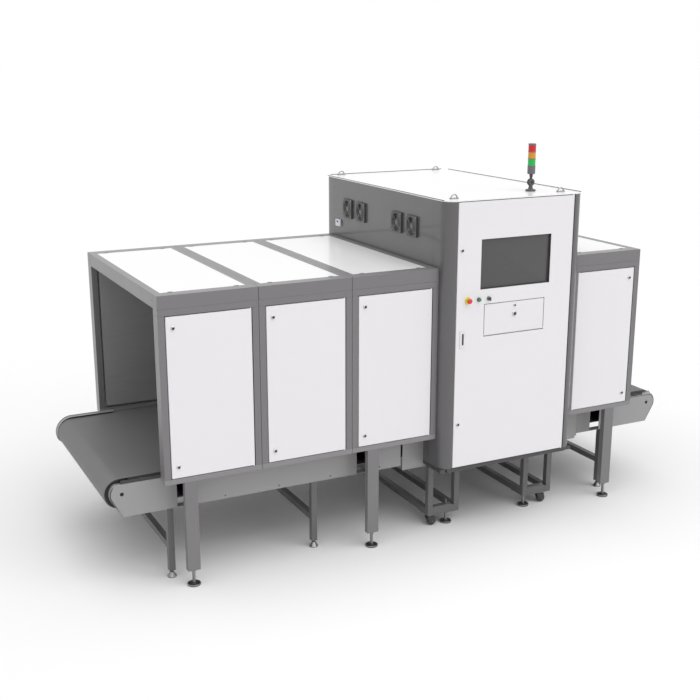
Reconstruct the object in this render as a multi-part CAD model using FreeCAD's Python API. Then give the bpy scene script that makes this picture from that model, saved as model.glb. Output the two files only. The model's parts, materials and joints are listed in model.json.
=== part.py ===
import FreeCAD, Part
import os
from math import asin, cos, degrees, pi, radians, sin, sqrt

# Baggage x-ray scanner: a screening cabinet on two wheeled stands, a three-bay tunnel on its left,
# a one-bay tunnel on its right, and one belt conveyor that runs through all of them.
# Millimetres. X runs along the belt, +Y is the far side and -Y the operator's side, Z is up.
# Below, x = 0 and y = 0 are the scanning plane and the belt's middle, z = 0 is the floor.

# Tunnel sections
TUNNEL_WIDTH = 1600.0
TUNNEL_BOTTOM = 675.0
TUNNEL_TOP = 1811.0
LEFT_BAY = 613.0
LEFT_BAY_COUNT = 3
RIGHT_BAY = 572.0
POST_WIDTH = 40.0
POST_DEPTH = 82.0
SILL_HEIGHT = 32.0
HEADER_HEIGHT = 40.0
BAND_HEIGHT = 80.0
BAY_SEAM = 2.0
BAND_GROOVE = 1.5
LINING_THICK = 3.0
LINING_SET_BACK = 50.0
LINING_LIFT = 25.0
CROSS_BEAM = 45.0
CROSS_BEAM_HEIGHT = 40.0
BEAM_GROOVE = 1.5
ROOF_SHEET = 3.0
ROOF_DROP = 2.0

# Access panels and their quarter-turn locks
PANEL_GAP = 5.0
PANEL_DEPTH = 28.0
PANEL_SKIN = 2.5
PANEL_EDGE_ROUND = 5.0
PANEL_PIN_RADIUS = 4.0
LOCK_INSET = 42.0
LOCK_RISE = 68.0
LOCK_RADIUS = 11.0
LOCK_REACH = 8.0
LOCK_SHANK_RADIUS = 8.0
LOCK_FIT = 0.2
LOCK_RIM = 0.15
LOCK_KEYHOLE = 0.5
LOCK_NECK = 0.7

# Cabinet
CABINET_LEFT = -510.0
CABINET_WIDTH = 1060.0
CABINET_FRONT = -882.0
CABINET_BACK = 873.0
CABINET_BOTTOM = 479.0
CABINET_RISE = 432.0
COLUMN_RADIUS = 80.0
COLUMN_STRIP = 85.0
SHEET = 3.0
COLUMN_RETURN = 34.0
ROOF_HEIGHT = 6.0
FLOOR_SHEET = 4.0

# Cabinet door
DOOR_GAP = 5.0
DOOR_DEPTH = 30.0
DOOR_SKIN = 3.0
DOOR_EDGE_ROUND = 6.0
DOOR_PIN_RADIUS = 5.0
SCREEN_WIDTH = 539.0
SCREEN_BOTTOM = 1667.0
SCREEN_HEIGHT = 323.0
SCREEN_SET_BACK = 12.0
SCREEN_DEPTH = 46.0
SCREEN_BORDER = 16.0
FLAP_WIDTH = 463.0
FLAP_BOTTOM = 1359.0
FLAP_HEIGHT = 206.0
FLAP_THICK = 12.0
FLAP_GAP = 5.0
FLAP_ROUND = 5.0
FLAP_PIN_RADIUS = 4.0
TRAY_DEPTH = 70.0
TRAY_SHEET = 2.5
FLAP_LOCK_RISE = (125.0, 182.0)
FLAP_LOCK_RADIUS = (16.0, 8.0)
DOOR_LOCK_INSET = 31.0
DOOR_LOCK_Z = (781.0, 1930.0)
HANDLE_INSET = 50.5
HANDLE_Z = 1352.5
HANDLE_WIDTH = 43.0
HANDLE_HEIGHT = 113.0
HANDLE_REACH = 6.0
HANDLE_ROUND = 2.0
HANDLE_SLOT_WIDTH = 14.0
HANDLE_SLOT_HEIGHT = 78.0
HANDLE_SLOT_FLOOR = 1.0

# Operator's buttons on the door
BUTTON_Z = 1604.0
ESTOP_INSET = 84.0
START_INSET = 165.0
KEY_INSET = 241.0
ESTOP_COLLAR_RADIUS = 22.0
ESTOP_COLLAR_REACH = 14.0
ESTOP_HEAD_RADIUS = 17.0
ESTOP_HEAD_HEIGHT = 14.0
ESTOP_CROWN = 0.45
ESTOP_TRAVEL = 5.0
ESTOP_NECK_RADIUS = 9.0
BUTTON_COLLAR_RADIUS = 13.0
BUTTON_COLLAR_REACH = 6.0
BUTTON_RADIUS = 10.0
BUTTON_REACH = 10.0
BUTTON_TRAVEL = 3.0
BUTTON_FIT = 0.3
KEY_THICK = 4.0

# Base of the cabinet and its two wheeled stands
BASE_HEIGHT = 27.0
BASE_INSET = 8.0
BASE_RAIL_END = 15.0
STAND_POST = 40.0
STAND_BOTTOM = 75.0
LEFT_STAND_INSET = (42.0, 248.0)
RIGHT_STAND_INSET = (237.0, 35.0)
STAND_RAIL_RISE = 5.0
STAND_SHOE = 100.0
STAND_RAIL_HEIGHT = 40.0
STAND_BAR_HEIGHT = 60.0
STAND_BAR_DROP = 14.0
STAND_BAR_ROUND = 46.0
LEFT_FOOT_INSET = 175.0
LEFT_CASTER_INSET = 48.0
RIGHT_CASTER_INSET = 98.0
BOLT_RADIUS = 8.0
BOLT_RISE = 35.0
BOLT_NUT = 13.0
BOLT_NUT_HEIGHT = 10.0

# Levelling feet
FOOT_RADIUS = 41.0
FOOT_HEIGHT = 12.0
FOOT_CROWN = 8.0
FOOT_STEM_RADIUS = 10.0

# Casters
WHEEL_RADIUS = 29.0
WHEEL_WIDTH = 26.0
WHEEL_LIFT = 3.0
CASTER_TRAIL = 12.0
CASTER_FORK_SHEET = 3.0
CASTER_FORK_GAP = 5.0
CASTER_FORK_WIDTH = 60.0
CASTER_CHEEK_RADIUS = 20.0
CASTER_PIN_REACH = 2.0
WHEEL_ROUND = 4.0
CASTER_PLATE = 4.0
CASTER_PLATE_SIZE = 40.0
CASTER_SWIVEL_RADIUS = 16.0
CASTER_SWIVEL_HEIGHT = 4.0
CASTER_AXLE_RADIUS = 5.0
AXLE_FIT = 0.3

# Tunnel legs
LEG_WIDTH = 80.0
LEG_DEPTH = 40.0
LEG_BOTTOM = 100.0
LEG_INSET_LEFT = 159.0
LEG_INSET_MIDDLE = 461.0
LEG_INSET_RIGHT = 386.0

# Conveyor
BELT_TOP = 700.0
BELT_THICK = 4.0
BELT_HALF_WIDTH = 636.0
BELT_CLEARANCE = 4.0
NOSE_OVERHANG_LEFT = 219.0
NOSE_OVERHANG_RIGHT = 294.0
NOSE_RISE = 93.0
DRUM_HALF_WIDTH = 582.0
DRUM_SHAFT_RADIUS = 12.0
PLATE_Y = 645.0
PLATE_THICK = 3.0
PLATE_BOTTOM = 462.0
PLATE_TOP = 670.0
PLATE_NOSE_RADIUS = 75.0
PLATE_HEEL_ANGLE = 31.0
PLATE_FLANGE = 55.0
GUARD_RISE = 17.0
PLATE_SEAM = 14.0
PLATE_SEAM_REACH = 167.0
PLATE_HOLE_RADIUS = 4.5
PLATE_HOLE_RISE = 20.0
PLATE_HOLE_REACH = 333.0
PLATE_HOLE_PITCH = 360.5
PLATE_HOLE_COUNT = 4
CENTRE_PLATE_BOTTOM = 428.0
CENTRE_PLATE_REACH = 212.0
LEG_SLOT_WIDTH = 84.0
LEG_SLOT_TOP = 612.0
BED_SHEET = 3.0
BED_RIB_HEIGHT = 40.0
BED_RIB_WIDTH = 30.0
BED_RIB_COUNT = 8
BED_SET_BACK = 44.0

# Conveyor legs
THIN_LEG = 40.0
THIN_LEG_INSET_LEFT = 291.0
THIN_LEG_INSET_MIDDLE = 804.0
THIN_LEG_INSET_RIGHT = 395.0
THIN_LEG_Y = 614.0
THIN_LEG_BOTTOM = 45.0
CROSSBAR_BOTTOM = 190.0
CROSSBAR_HEIGHT = 40.0
CONE_RADIUS = 30.0
CONE_TOP_RADIUS = 9.0
CONE_RIM = 4.0

# Fans and sensor on the left wall
FAN_SIZE = 136.0
FAN_DEPTH = 26.0
FAN_RISE = 226.0
FAN_Y = (-459.0, -256.0, 270.0, 476.0)
FAN_BORE_RADIUS = 60.0
FAN_HUB_RADIUS = 20.0
FAN_RING_RADIUS = (31.0, 45.0)
FAN_WIRE = 2.5
FAN_SPOKES = 4
FAN_BLADES = 7
FAN_BLADE_THICK = 2.0
FAN_BLADE_CHORD = 26.0
FAN_BLADE_TWIST = 38.0
FAN_BLADE_TIP_GAP = 2.0
FAN_CORNER = 6.0
SENSOR_Y = 632.0
SENSOR_RISE = 104.0
SENSOR_WIDTH = 84.0
SENSOR_HEIGHT = 50.0
SENSOR_DEPTH = 28.0
SENSOR_ROUND = 6.0

# Lifting eyes on the roof
EYE_INSET = (111.0, 126.0)
EYE_Y = (-780.0, 820.0)
EYE_PLATE_X = 60.0
EYE_PLATE_Y = 24.0
EYE_PLATE_HEIGHT = 5.0
EYE_RING_RADIUS = 22.0
EYE_ROD_RADIUS = 4.5

# Folding signal tower
TOWER_INSET = 278.0
TOWER_Y = -655.0
TOWER_FLANGE_RADIUS = 34.0
TOWER_CONE_RADIUS = 17.0
TOWER_THROAT_RADIUS = 11.0
TOWER_FLANGE_HEIGHT = 12.0
TOWER_PIVOT_RISE = 59.0
TOWER_CHEEK_RADIUS = 24.0
TOWER_CHEEK_THICK = 7.0
TOWER_TONGUE_THICK = 12.0
TOWER_TONGUE_GAP = 0.4
TOWER_TONGUE_RADIUS = 20.0
TOWER_WEB = 0.45
TOWER_PIN_RADIUS = 5.0
TOWER_NECK_RADIUS = 9.5
TOWER_BODY_RADIUS = 26.0
TOWER_BODY_BOTTOM = 112.0
TOWER_BODY_HEIGHT = 55.0
LAMP_HEIGHT = 45.0
LAMP_RADIUS = 25.0
CAP_HEIGHT = 10.0

# Places that follow from the sizes above
CABINET_RIGHT = CABINET_LEFT + CABINET_WIDTH
CABINET_TOP = TUNNEL_TOP + CABINET_RISE
LEFT_TUNNEL_END = CABINET_LEFT - LEFT_BAY * LEFT_BAY_COUNT
RIGHT_TUNNEL_END = CABINET_RIGHT + RIGHT_BAY
HALF_TUNNEL = TUNNEL_WIDTH / 2
LINING_Y = HALF_TUNNEL - POST_DEPTH
CEILING_Z = TUNNEL_TOP - BAND_HEIGHT
HEADER_Z = CEILING_Z - HEADER_HEIGHT
SILL_TOP = TUNNEL_BOTTOM + SILL_HEIGHT
NOSE_Z = BELT_TOP - NOSE_RISE
DRUM_RADIUS = NOSE_RISE - BELT_THICK
DOOR_LEFT = CABINET_LEFT + COLUMN_RADIUS + DOOR_GAP
DOOR_RIGHT = CABINET_RIGHT - COLUMN_RADIUS - DOOR_GAP
DOOR_BOTTOM = CABINET_BOTTOM + DOOR_GAP
DOOR_TOP = CABINET_TOP - ROOF_HEIGHT - DOOR_GAP
DOOR_CENTRE = (DOOR_LEFT + DOOR_RIGHT) / 2
SCREEN_LEFT = DOOR_CENTRE - SCREEN_WIDTH / 2
FLAP_LEFT = DOOR_CENTRE - FLAP_WIDTH / 2
FLAP_LOCK_Z = [FLAP_BOTTOM + rise for rise in FLAP_LOCK_RISE]
DOOR_LOCK_X = DOOR_LEFT + DOOR_LOCK_INSET
HANDLE_X = DOOR_LEFT + HANDLE_INSET
ESTOP_X = DOOR_LEFT + ESTOP_INSET
START_X = DOOR_LEFT + START_INSET
KEY_X = DOOR_LEFT + KEY_INSET
BASE_BOTTOM = CABINET_BOTTOM - BASE_HEIGHT
STAND_Y = PLATE_Y + STAND_POST / 2
LEFT_STAND_X = [CABINET_LEFT + inset for inset in LEFT_STAND_INSET]
RIGHT_STAND_X = [CABINET_RIGHT - inset for inset in RIGHT_STAND_INSET]
LEFT_FOOT_X = CABINET_LEFT + LEFT_FOOT_INSET
RIGHT_FOOT_X = RIGHT_STAND_X[0]
LEFT_CASTER_X = CABINET_LEFT + LEFT_CASTER_INSET
RIGHT_CASTER_X = CABINET_RIGHT - RIGHT_CASTER_INSET
LEG_X = (LEFT_TUNNEL_END + LEG_INSET_LEFT, CABINET_LEFT - LEG_INSET_MIDDLE, CABINET_RIGHT + LEG_INSET_RIGHT)
NOSE_LEFT_X = LEFT_TUNNEL_END - NOSE_OVERHANG_LEFT
NOSE_RIGHT_X = RIGHT_TUNNEL_END + NOSE_OVERHANG_RIGHT
THIN_LEG_X = (NOSE_LEFT_X + THIN_LEG_INSET_LEFT, CABINET_LEFT - THIN_LEG_INSET_MIDDLE,
              NOSE_RIGHT_X - THIN_LEG_INSET_RIGHT)
PLATE_SEAM_LEFT = CABINET_LEFT - PLATE_SEAM_REACH
CENTRE_PLATE_END = CABINET_RIGHT + CENTRE_PLATE_REACH
FAN_Z = TUNNEL_TOP + FAN_RISE
SENSOR_Z = TUNNEL_TOP + SENSOR_RISE
EYE_X = (CABINET_LEFT + EYE_INSET[0], CABINET_RIGHT - EYE_INSET[1])
TOWER_X = CABINET_RIGHT - TOWER_INSET
ESTOP_REACH = ESTOP_COLLAR_REACH + ESTOP_TRAVEL + ESTOP_HEAD_HEIGHT
TOWER_PIVOT_Z = CABINET_TOP + TOWER_PIVOT_RISE

# The part's origin: floor level, in the middle of its plan
ORIGIN_X = (NOSE_LEFT_X + NOSE_RIGHT_X) / 2
ORIGIN_Y = (CABINET_FRONT - ESTOP_REACH + CABINET_BACK + LOCK_REACH) / 2


# Shapes

def vec(x, y, z):
    return FreeCAD.Vector(x, y, z)


def box(x0, x1, y0, y1, z0, z1):
    return Part.makeBox(x1 - x0, y1 - y0, z1 - z0, vec(x0, y0, z0))


def rod(radius, length, base, direction):
    return Part.makeCylinder(radius, length, base, direction)


def around(x, y, half_x, half_y, z0, z1):
    return box(x - half_x, x + half_x, y - half_y, y + half_y, z0, z1)


def mirror_y(shape):
    return shape.mirror(vec(0, 0, 0), vec(0, 1, 0))


def prism_y(edges, y0, y1):
    face = Part.Face(Part.Wire(edges))
    face.translate(vec(0, y0, 0))
    return face.extrude(vec(0, y1 - y0, 0))


def line(a, b):
    return Part.makeLine(vec(a[0], 0, a[1]), vec(b[0], 0, b[1]))


def bend(a, middle, b):
    return Part.Arc(vec(a[0], 0, a[1]), vec(middle[0], 0, middle[1]), vec(b[0], 0, b[1])).toShape()


def on_circle(centre, radius, angle):
    return (centre[0] + radius * cos(radians(angle)), centre[1] + radius * sin(radians(angle)))


def round_upright_edges(shape, radius, y_limit):
    edges = [edge for edge in shape.Edges
             if abs(edge.BoundBox.ZLength - shape.BoundBox.ZLength) < 1e-6
             and edge.BoundBox.YMax < y_limit]
    return shape.makeFillet(radius, edges)


def save(node, solids):
    shape = Part.makeCompound(solids)
    shape.translate(vec(-ORIGIN_X, -ORIGIN_Y, 0))
    shape.exportStep(os.path.join("parts", node + ".step"))


# Tunnel sections

def bays():
    edges = [CABINET_LEFT - LEFT_BAY * i for i in range(LEFT_BAY_COUNT, -1, -1)]
    return list(zip(edges, edges[1:])) + [(CABINET_RIGHT, RIGHT_TUNNEL_END)]


def bay_span(bay):
    # Bays are bolted end to end, with half a seam at each inner joint
    x0, x1 = bay
    start = x0 if x0 in (LEFT_TUNNEL_END, CABINET_RIGHT) else x0 + BAY_SEAM / 2
    end = x1 if x1 in (CABINET_LEFT, RIGHT_TUNNEL_END) else x1 - BAY_SEAM / 2
    return start, end


def both_sides(make):
    front = make()
    return [front, mirror_y(front)]


def tunnel_posts():
    solids = []
    for bay in bays():
        x0, x1 = bay_span(bay)
        for start in (x0, x1 - POST_WIDTH):
            end = start + POST_WIDTH
            solids += both_sides(lambda: box(start, end, -HALF_TUNNEL, -LINING_Y, SILL_TOP, HEADER_Z))
    return solids


def tunnel_sills():
    solids = []
    for bay in bays():
        x0, x1 = bay_span(bay)
        solids += both_sides(lambda: box(x0, x1, -HALF_TUNNEL, -LINING_Y, TUNNEL_BOTTOM, SILL_TOP))
    return solids


def long_edge(shape, y, z):
    # The edge along x that runs at this y and z
    return [edge for edge in shape.Edges
            if abs(edge.BoundBox.YMin - y) < 1e-6 and abs(edge.BoundBox.YMax - y) < 1e-6
            and abs(edge.BoundBox.ZMin - z) < 1e-6 and abs(edge.BoundBox.ZMax - z) < 1e-6]


def tunnel_headers():
    # Each bay has a rail over its panel and a band over the rail, with a fine groove between them
    solids = []
    for bay in bays():
        x0, x1 = bay_span(bay)
        for bottom, top in ((HEADER_Z, CEILING_Z), (CEILING_Z, TUNNEL_TOP)):
            bar = box(x0, x1, -HALF_TUNNEL, -LINING_Y, bottom, top)
            bar = bar.makeChamfer(BAND_GROOVE, long_edge(bar, -HALF_TUNNEL, CEILING_Z))
            solids += [bar, mirror_y(bar)]
    return solids


def tunnel_cross_beams():
    # End beams close the top band at the open mouths; flat beams carry the roof at every seam
    solids = []
    for bay in bays():
        x0, x1 = bay_span(bay)
        for start, mouth in ((x0, x0 == LEFT_TUNNEL_END), (x1 - CROSS_BEAM, x1 == RIGHT_TUNNEL_END)):
            bottom = CEILING_Z if mouth else TUNNEL_TOP - CROSS_BEAM_HEIGHT
            beam = box(start, start + CROSS_BEAM, -LINING_Y, LINING_Y, bottom, TUNNEL_TOP)
            if not mouth:
                middle = start + CROSS_BEAM / 2
                groove = box(middle - BEAM_GROOVE / 2, middle + BEAM_GROOVE / 2, -LINING_Y, LINING_Y,
                             TUNNEL_TOP - BEAM_GROOVE, TUNNEL_TOP)
                beam = beam.cut(groove)
            solids.append(beam)
    return solids


def tunnel_roof_panels():
    solids = []
    top = TUNNEL_TOP - ROOF_DROP
    for bay in bays():
        x0, x1 = bay_span(bay)
        solids.append(box(x0 + CROSS_BEAM, x1 - CROSS_BEAM, -LINING_Y, LINING_Y, top - ROOF_SHEET, top))
    return solids


def lined_runs():
    return [(LEFT_TUNNEL_END, CABINET_LEFT), (CABINET_LEFT + SHEET, CABINET_RIGHT - SHEET),
            (CABINET_RIGHT, RIGHT_TUNNEL_END)]


def tunnel_side_linings():
    solids = []
    for x0, x1 in lined_runs():
        start = x0 + LINING_SET_BACK if x0 == LEFT_TUNNEL_END else x0
        end = x1 - LINING_SET_BACK if x1 == RIGHT_TUNNEL_END else x1
        solids += both_sides(lambda: box(start, end, -LINING_Y, -LINING_Y + LINING_THICK,
                                         BELT_TOP + LINING_LIFT, CEILING_Z - LINING_THICK))
    return solids


def tunnel_ceilings():
    return [box(x0, x1, -LINING_Y, LINING_Y, CEILING_Z - LINING_THICK, CEILING_Z) for x0, x1 in lined_runs()]


def panel_edges(bay):
    x0, x1 = bay_span(bay)
    return x0 + POST_WIDTH + PANEL_GAP, x1 - POST_WIDTH - PANEL_GAP


PANEL_BOTTOM = SILL_TOP + PANEL_GAP
PANEL_TOP = HEADER_Z - PANEL_GAP


def lock_x(bay, right_side):
    x0, x1 = panel_edges(bay)
    return x1 - LOCK_INSET if right_side else x0 + LOCK_INSET


def panel_hinge_x(bay, lock_on_right):
    x0, x1 = panel_edges(bay)
    return x0 + PANEL_EDGE_ROUND if lock_on_right else x1 - PANEL_EDGE_ROUND


def hinge_pins(x, y, radius, bottom, top, gap):
    # Short pins above and below a leaf, in the seats that carry it
    return [rod(radius, gap, vec(x, y, z), vec(0, 0, 1)) for z in (bottom - gap, top)]


def access_panel(bay, lock_on_right):
    # A folded sheet pan, open at the back, with rounded upright edges, two lock holes and two pins
    x0, x1 = panel_edges(bay)
    pan = box(x0, x1, -HALF_TUNNEL, -HALF_TUNNEL + PANEL_DEPTH, PANEL_BOTTOM, PANEL_TOP)
    pan = round_upright_edges(pan, PANEL_EDGE_ROUND, -HALF_TUNNEL + PANEL_SKIN)
    hollow = box(x0 + PANEL_SKIN, x1 - PANEL_SKIN, -HALF_TUNNEL + PANEL_SKIN, -HALF_TUNNEL + PANEL_DEPTH,
                 PANEL_BOTTOM + PANEL_SKIN, PANEL_TOP - PANEL_SKIN)
    inner_round = PANEL_EDGE_ROUND - PANEL_SKIN
    hollow = round_upright_edges(hollow, inner_round, -HALF_TUNNEL + 2 * PANEL_SKIN)
    pan = pan.cut(hollow)
    for z in (PANEL_BOTTOM + LOCK_RISE, PANEL_TOP - LOCK_RISE):
        hole = rod(LOCK_SHANK_RADIUS + LOCK_FIT, PANEL_SKIN * 3,
                   vec(lock_x(bay, lock_on_right), -HALF_TUNNEL - PANEL_SKIN, z), vec(0, 1, 0))
        pan = pan.cut(hole)
    pins = hinge_pins(panel_hinge_x(bay, lock_on_right), -HALF_TUNNEL + PANEL_EDGE_ROUND, PANEL_PIN_RADIUS,
                      PANEL_BOTTOM, PANEL_TOP, PANEL_GAP)
    return pan.fuse(pins)


def round_lock(x, y, z, radius):
    # Chrome head with a chamfered rim and a key slot, on a shank through the sheet
    head = rod(radius, LOCK_REACH, vec(x, y - LOCK_REACH, z), vec(0, 1, 0))
    rim = [edge for edge in head.Edges if edge.BoundBox.YMax < y - LOCK_REACH + 0.01]
    head = head.makeChamfer(radius * LOCK_RIM, rim)
    half_high = radius * LOCK_KEYHOLE
    half_wide = half_high / 4
    slot = box(x - half_wide, x + half_wide, y - LOCK_REACH, y - LOCK_REACH / 2, z - half_high, z + half_high)
    shank_radius = min(LOCK_SHANK_RADIUS, radius * LOCK_NECK)
    shank = rod(shank_radius, SHEET + LOCK_REACH, vec(x, y, z), vec(0, 1, 0))
    return head.cut(slot).fuse(shank)


def panel_locks(bay, on_right):
    x = lock_x(bay, on_right)
    heights = (PANEL_BOTTOM + LOCK_RISE, PANEL_TOP - LOCK_RISE)
    return [round_lock(x, -HALF_TUNNEL, z, LOCK_RADIUS) for z in heights]


def back_access_panels():
    solids = []
    for bay in bays():
        on_right = bay[0] == CABINET_RIGHT
        panel = access_panel(bay, on_right)
        for lock in panel_locks(bay, on_right):
            panel = panel.fuse(lock)
        solids.append(mirror_y(panel))
    return solids


# Tunnel legs and every levelling foot

def tunnel_legs():
    solids = []
    half = LEG_WIDTH / 2
    for x in LEG_X:
        solids += both_sides(lambda: box(x - half, x + half, -HALF_TUNNEL, -HALF_TUNNEL + LEG_DEPTH,
                                         LEG_BOTTOM, TUNNEL_BOTTOM))
    return solids


def levelling_foot(x, y, top):
    disc = rod(FOOT_RADIUS, FOOT_HEIGHT, vec(x, y, 0), vec(0, 0, 1))
    crown = Part.makeCone(FOOT_RADIUS, FOOT_STEM_RADIUS, FOOT_CROWN, vec(x, y, FOOT_HEIGHT), vec(0, 0, 1))
    stem = rod(FOOT_STEM_RADIUS, top - FOOT_HEIGHT, vec(x, y, FOOT_HEIGHT), vec(0, 0, 1))
    return disc.fuse([crown, stem])


def levelling_feet():
    solids = []
    for x in LEG_X:
        for y in (-HALF_TUNNEL + LEG_DEPTH / 2, HALF_TUNNEL - LEG_DEPTH / 2):
            solids.append(levelling_foot(x, y, LEG_BOTTOM))
    for x in (LEFT_FOOT_X, RIGHT_FOOT_X):
        for y in (-STAND_Y, STAND_Y):
            solids.append(levelling_foot(x, y, STAND_BOTTOM))
    return solids


# Conveyor

def plate_outline(left, right, bottom, top, left_nose, right_nose):
    # Left and right ends are square, or a round nose with a slanted heel; nose values are radii or None
    edges = []
    low_left = (left, bottom)
    high_left = (left, top)
    low_right = (right, bottom)
    high_right = (right, top)
    if left_nose:
        centre = (NOSE_LEFT_X, NOSE_Z)
        lift = degrees(asin((top - NOSE_Z) / left_nose))
        high_left = on_circle(centre, left_nose, 180 - lift)
        heel = on_circle(centre, left_nose, 180 + PLATE_HEEL_ANGLE)
        low_left = (NOSE_LEFT_X, bottom)
        edges.append(bend(high_left, on_circle(centre, left_nose, 180), heel))
        edges.append(line(heel, low_left))
    else:
        edges.append(line(high_left, low_left))
    if right_nose:
        centre = (NOSE_RIGHT_X, NOSE_Z)
        lift = degrees(asin((top - NOSE_Z) / right_nose))
        high_right = on_circle(centre, right_nose, lift)
        heel = on_circle(centre, right_nose, -PLATE_HEEL_ANGLE)
        low_right = (NOSE_RIGHT_X, bottom)
        edges.append(line(low_left, low_right))
        edges.append(line(low_right, heel))
        edges.append(bend(heel, on_circle(centre, right_nose, 0), high_right))
    else:
        edges.append(line(low_left, low_right))
        edges.append(line(low_right, high_right))
    edges.append(line(high_right, high_left))
    return edges


def leg_slot(x):
    half = LEG_SLOT_WIDTH / 2
    return box(x - half, x + half, -PLATE_Y - PLATE_THICK, -PLATE_Y + 2 * PLATE_THICK,
               PLATE_BOTTOM + PLATE_THICK, LEG_SLOT_TOP)


def side_plate(left, right, bottom, top, left_nose, right_nose, lipped):
    # A folded sheet: a lipped one turns in along its top and nose as well as along its bottom
    outline = plate_outline(left, right, bottom, top, left_nose, right_nose)
    plate = prism_y(outline, -PLATE_Y, -PLATE_Y + PLATE_THICK)
    if lipped:
        rim = prism_y(outline, -PLATE_Y, -PLATE_Y + PLATE_FLANGE)
        past = 2 * PLATE_THICK
        inner = plate_outline(left - past, right + past, bottom + PLATE_THICK, top - PLATE_THICK,
                              left_nose and left_nose - PLATE_THICK, right_nose and right_nose - PLATE_THICK)
        rim = rim.cut(prism_y(inner, -PLATE_Y, -PLATE_Y + PLATE_FLANGE))
        plate = plate.fuse(rim.cut(belt_room()))
    else:
        start = NOSE_LEFT_X if left_nose else left
        end = NOSE_RIGHT_X if right_nose else right
        plate = plate.fuse(box(start, end, -PLATE_Y, -PLATE_Y + PLATE_FLANGE, bottom, bottom + PLATE_THICK))
    for x in LEG_X:
        if left < x < right:
            plate = plate.cut(leg_slot(x))
    for i in range(PLATE_HOLE_COUNT):
        x = CABINET_LEFT - PLATE_HOLE_REACH - i * PLATE_HOLE_PITCH
        if left < x < right:
            plate = plate.cut(plate_hole(x, PLATE_BOTTOM + PLATE_HOLE_RISE, PLATE_HOLE_RADIUS))
    if left_nose:
        plate = plate.cut(shaft_hole(NOSE_LEFT_X))
    if right_nose:
        plate = plate.cut(shaft_hole(NOSE_RIGHT_X))
    return plate


def plate_hole(x, z, radius):
    return rod(radius, 3 * PLATE_THICK, vec(x, -PLATE_Y - PLATE_THICK, z), vec(0, 1, 0))


def shaft_hole(x):
    return plate_hole(x, NOSE_Z, DRUM_SHAFT_RADIUS)


def centre_plate():
    # The middle plate hangs lower and steps up at its right end
    low = PLATE_SEAM_LEFT + PLATE_SEAM / 2
    step = PLATE_SEAM
    middle = CENTRE_PLATE_BOTTOM + (PLATE_BOTTOM - CENTRE_PLATE_BOTTOM) / 2
    points = [(low, CENTRE_PLATE_BOTTOM), (CENTRE_PLATE_END, CENTRE_PLATE_BOTTOM), (CENTRE_PLATE_END, middle),
              (CENTRE_PLATE_END + step, middle), (CENTRE_PLATE_END + step, PLATE_TOP), (low, PLATE_TOP)]
    edges = [line(points[i], points[(i + 1) % len(points)]) for i in range(len(points))]
    return prism_y(edges, -PLATE_Y, -PLATE_Y + PLATE_THICK)


def side_plates(nose_radius, top, lipped):
    left = side_plate(NOSE_LEFT_X - nose_radius, PLATE_SEAM_LEFT - PLATE_SEAM / 2,
                      PLATE_BOTTOM, top, nose_radius, None, lipped)
    right = side_plate(CENTRE_PLATE_END + PLATE_SEAM + BAY_SEAM, NOSE_RIGHT_X + nose_radius,
                       PLATE_BOTTOM, top, None, nose_radius, lipped)
    return [left, centre_plate(), right]


def conveyor_side_plates():
    # The far plates stand higher than the belt and guard its edge
    front = side_plates(PLATE_NOSE_RADIUS, PLATE_TOP, True)
    back = side_plates(NOSE_RISE + GUARD_RISE, BELT_TOP + GUARD_RISE, False)
    return front + [mirror_y(plate) for plate in back]


def loop(outer_radius, inner_radius, half_width):
    outer = prism_y(racetrack(outer_radius), -half_width, half_width)
    return outer.cut(prism_y(racetrack(inner_radius), -half_width, half_width))


def belt():
    return [loop(NOSE_RISE, DRUM_RADIUS, BELT_HALF_WIDTH)]


def belt_room():
    return loop(NOSE_RISE + BELT_CLEARANCE, DRUM_RADIUS - BELT_CLEARANCE, BELT_HALF_WIDTH + BELT_CLEARANCE)


def racetrack(radius):
    left = (NOSE_LEFT_X, NOSE_Z)
    right = (NOSE_RIGHT_X, NOSE_Z)
    return [bend(on_circle(left, radius, 90), on_circle(left, radius, 180), on_circle(left, radius, 270)),
            line(on_circle(left, radius, 270), on_circle(right, radius, 270)),
            bend(on_circle(right, radius, 270), on_circle(right, radius, 0), on_circle(right, radius, 90)),
            line(on_circle(right, radius, 90), on_circle(left, radius, 90))]


def end_drums():
    solids = []
    for x in (NOSE_LEFT_X, NOSE_RIGHT_X):
        drum = rod(DRUM_RADIUS, 2 * DRUM_HALF_WIDTH, vec(x, -DRUM_HALF_WIDTH, NOSE_Z), vec(0, 1, 0))
        shaft = rod(DRUM_SHAFT_RADIUS, 2 * PLATE_Y, vec(x, -PLATE_Y, NOSE_Z), vec(0, 1, 0))
        solids.append(drum.fuse(shaft))
    return solids


def slider_bed():
    # The sheet that the belt slides on, with ribs whose ends lie on the near plates' top lips
    top = BELT_TOP - BELT_THICK
    x0 = NOSE_LEFT_X + BED_SET_BACK
    x1 = NOSE_RIGHT_X - BED_SET_BACK
    half = PLATE_Y - PLATE_THICK
    bed = box(x0, x1, -BELT_HALF_WIDTH, BELT_HALF_WIDTH, top - BED_SHEET, top)
    first = NOSE_LEFT_X + DRUM_RADIUS + BED_RIB_WIDTH
    last = NOSE_RIGHT_X - DRUM_RADIUS - BED_RIB_WIDTH
    for i in range(BED_RIB_COUNT):
        x = first + (last - first) * i / (BED_RIB_COUNT - 1)
        x0 = x - BED_RIB_WIDTH / 2
        x1 = x + BED_RIB_WIDTH / 2
        ends = box(x0, x1, -half, half, PLATE_TOP, top - BED_SHEET)
        middle = PLATE_Y - PLATE_FLANGE - PLATE_THICK
        body = box(x0, x1, -middle, middle, top - BED_SHEET - BED_RIB_HEIGHT, PLATE_TOP)
        bed = bed.fuse([ends, body])
    return [bed]


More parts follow.
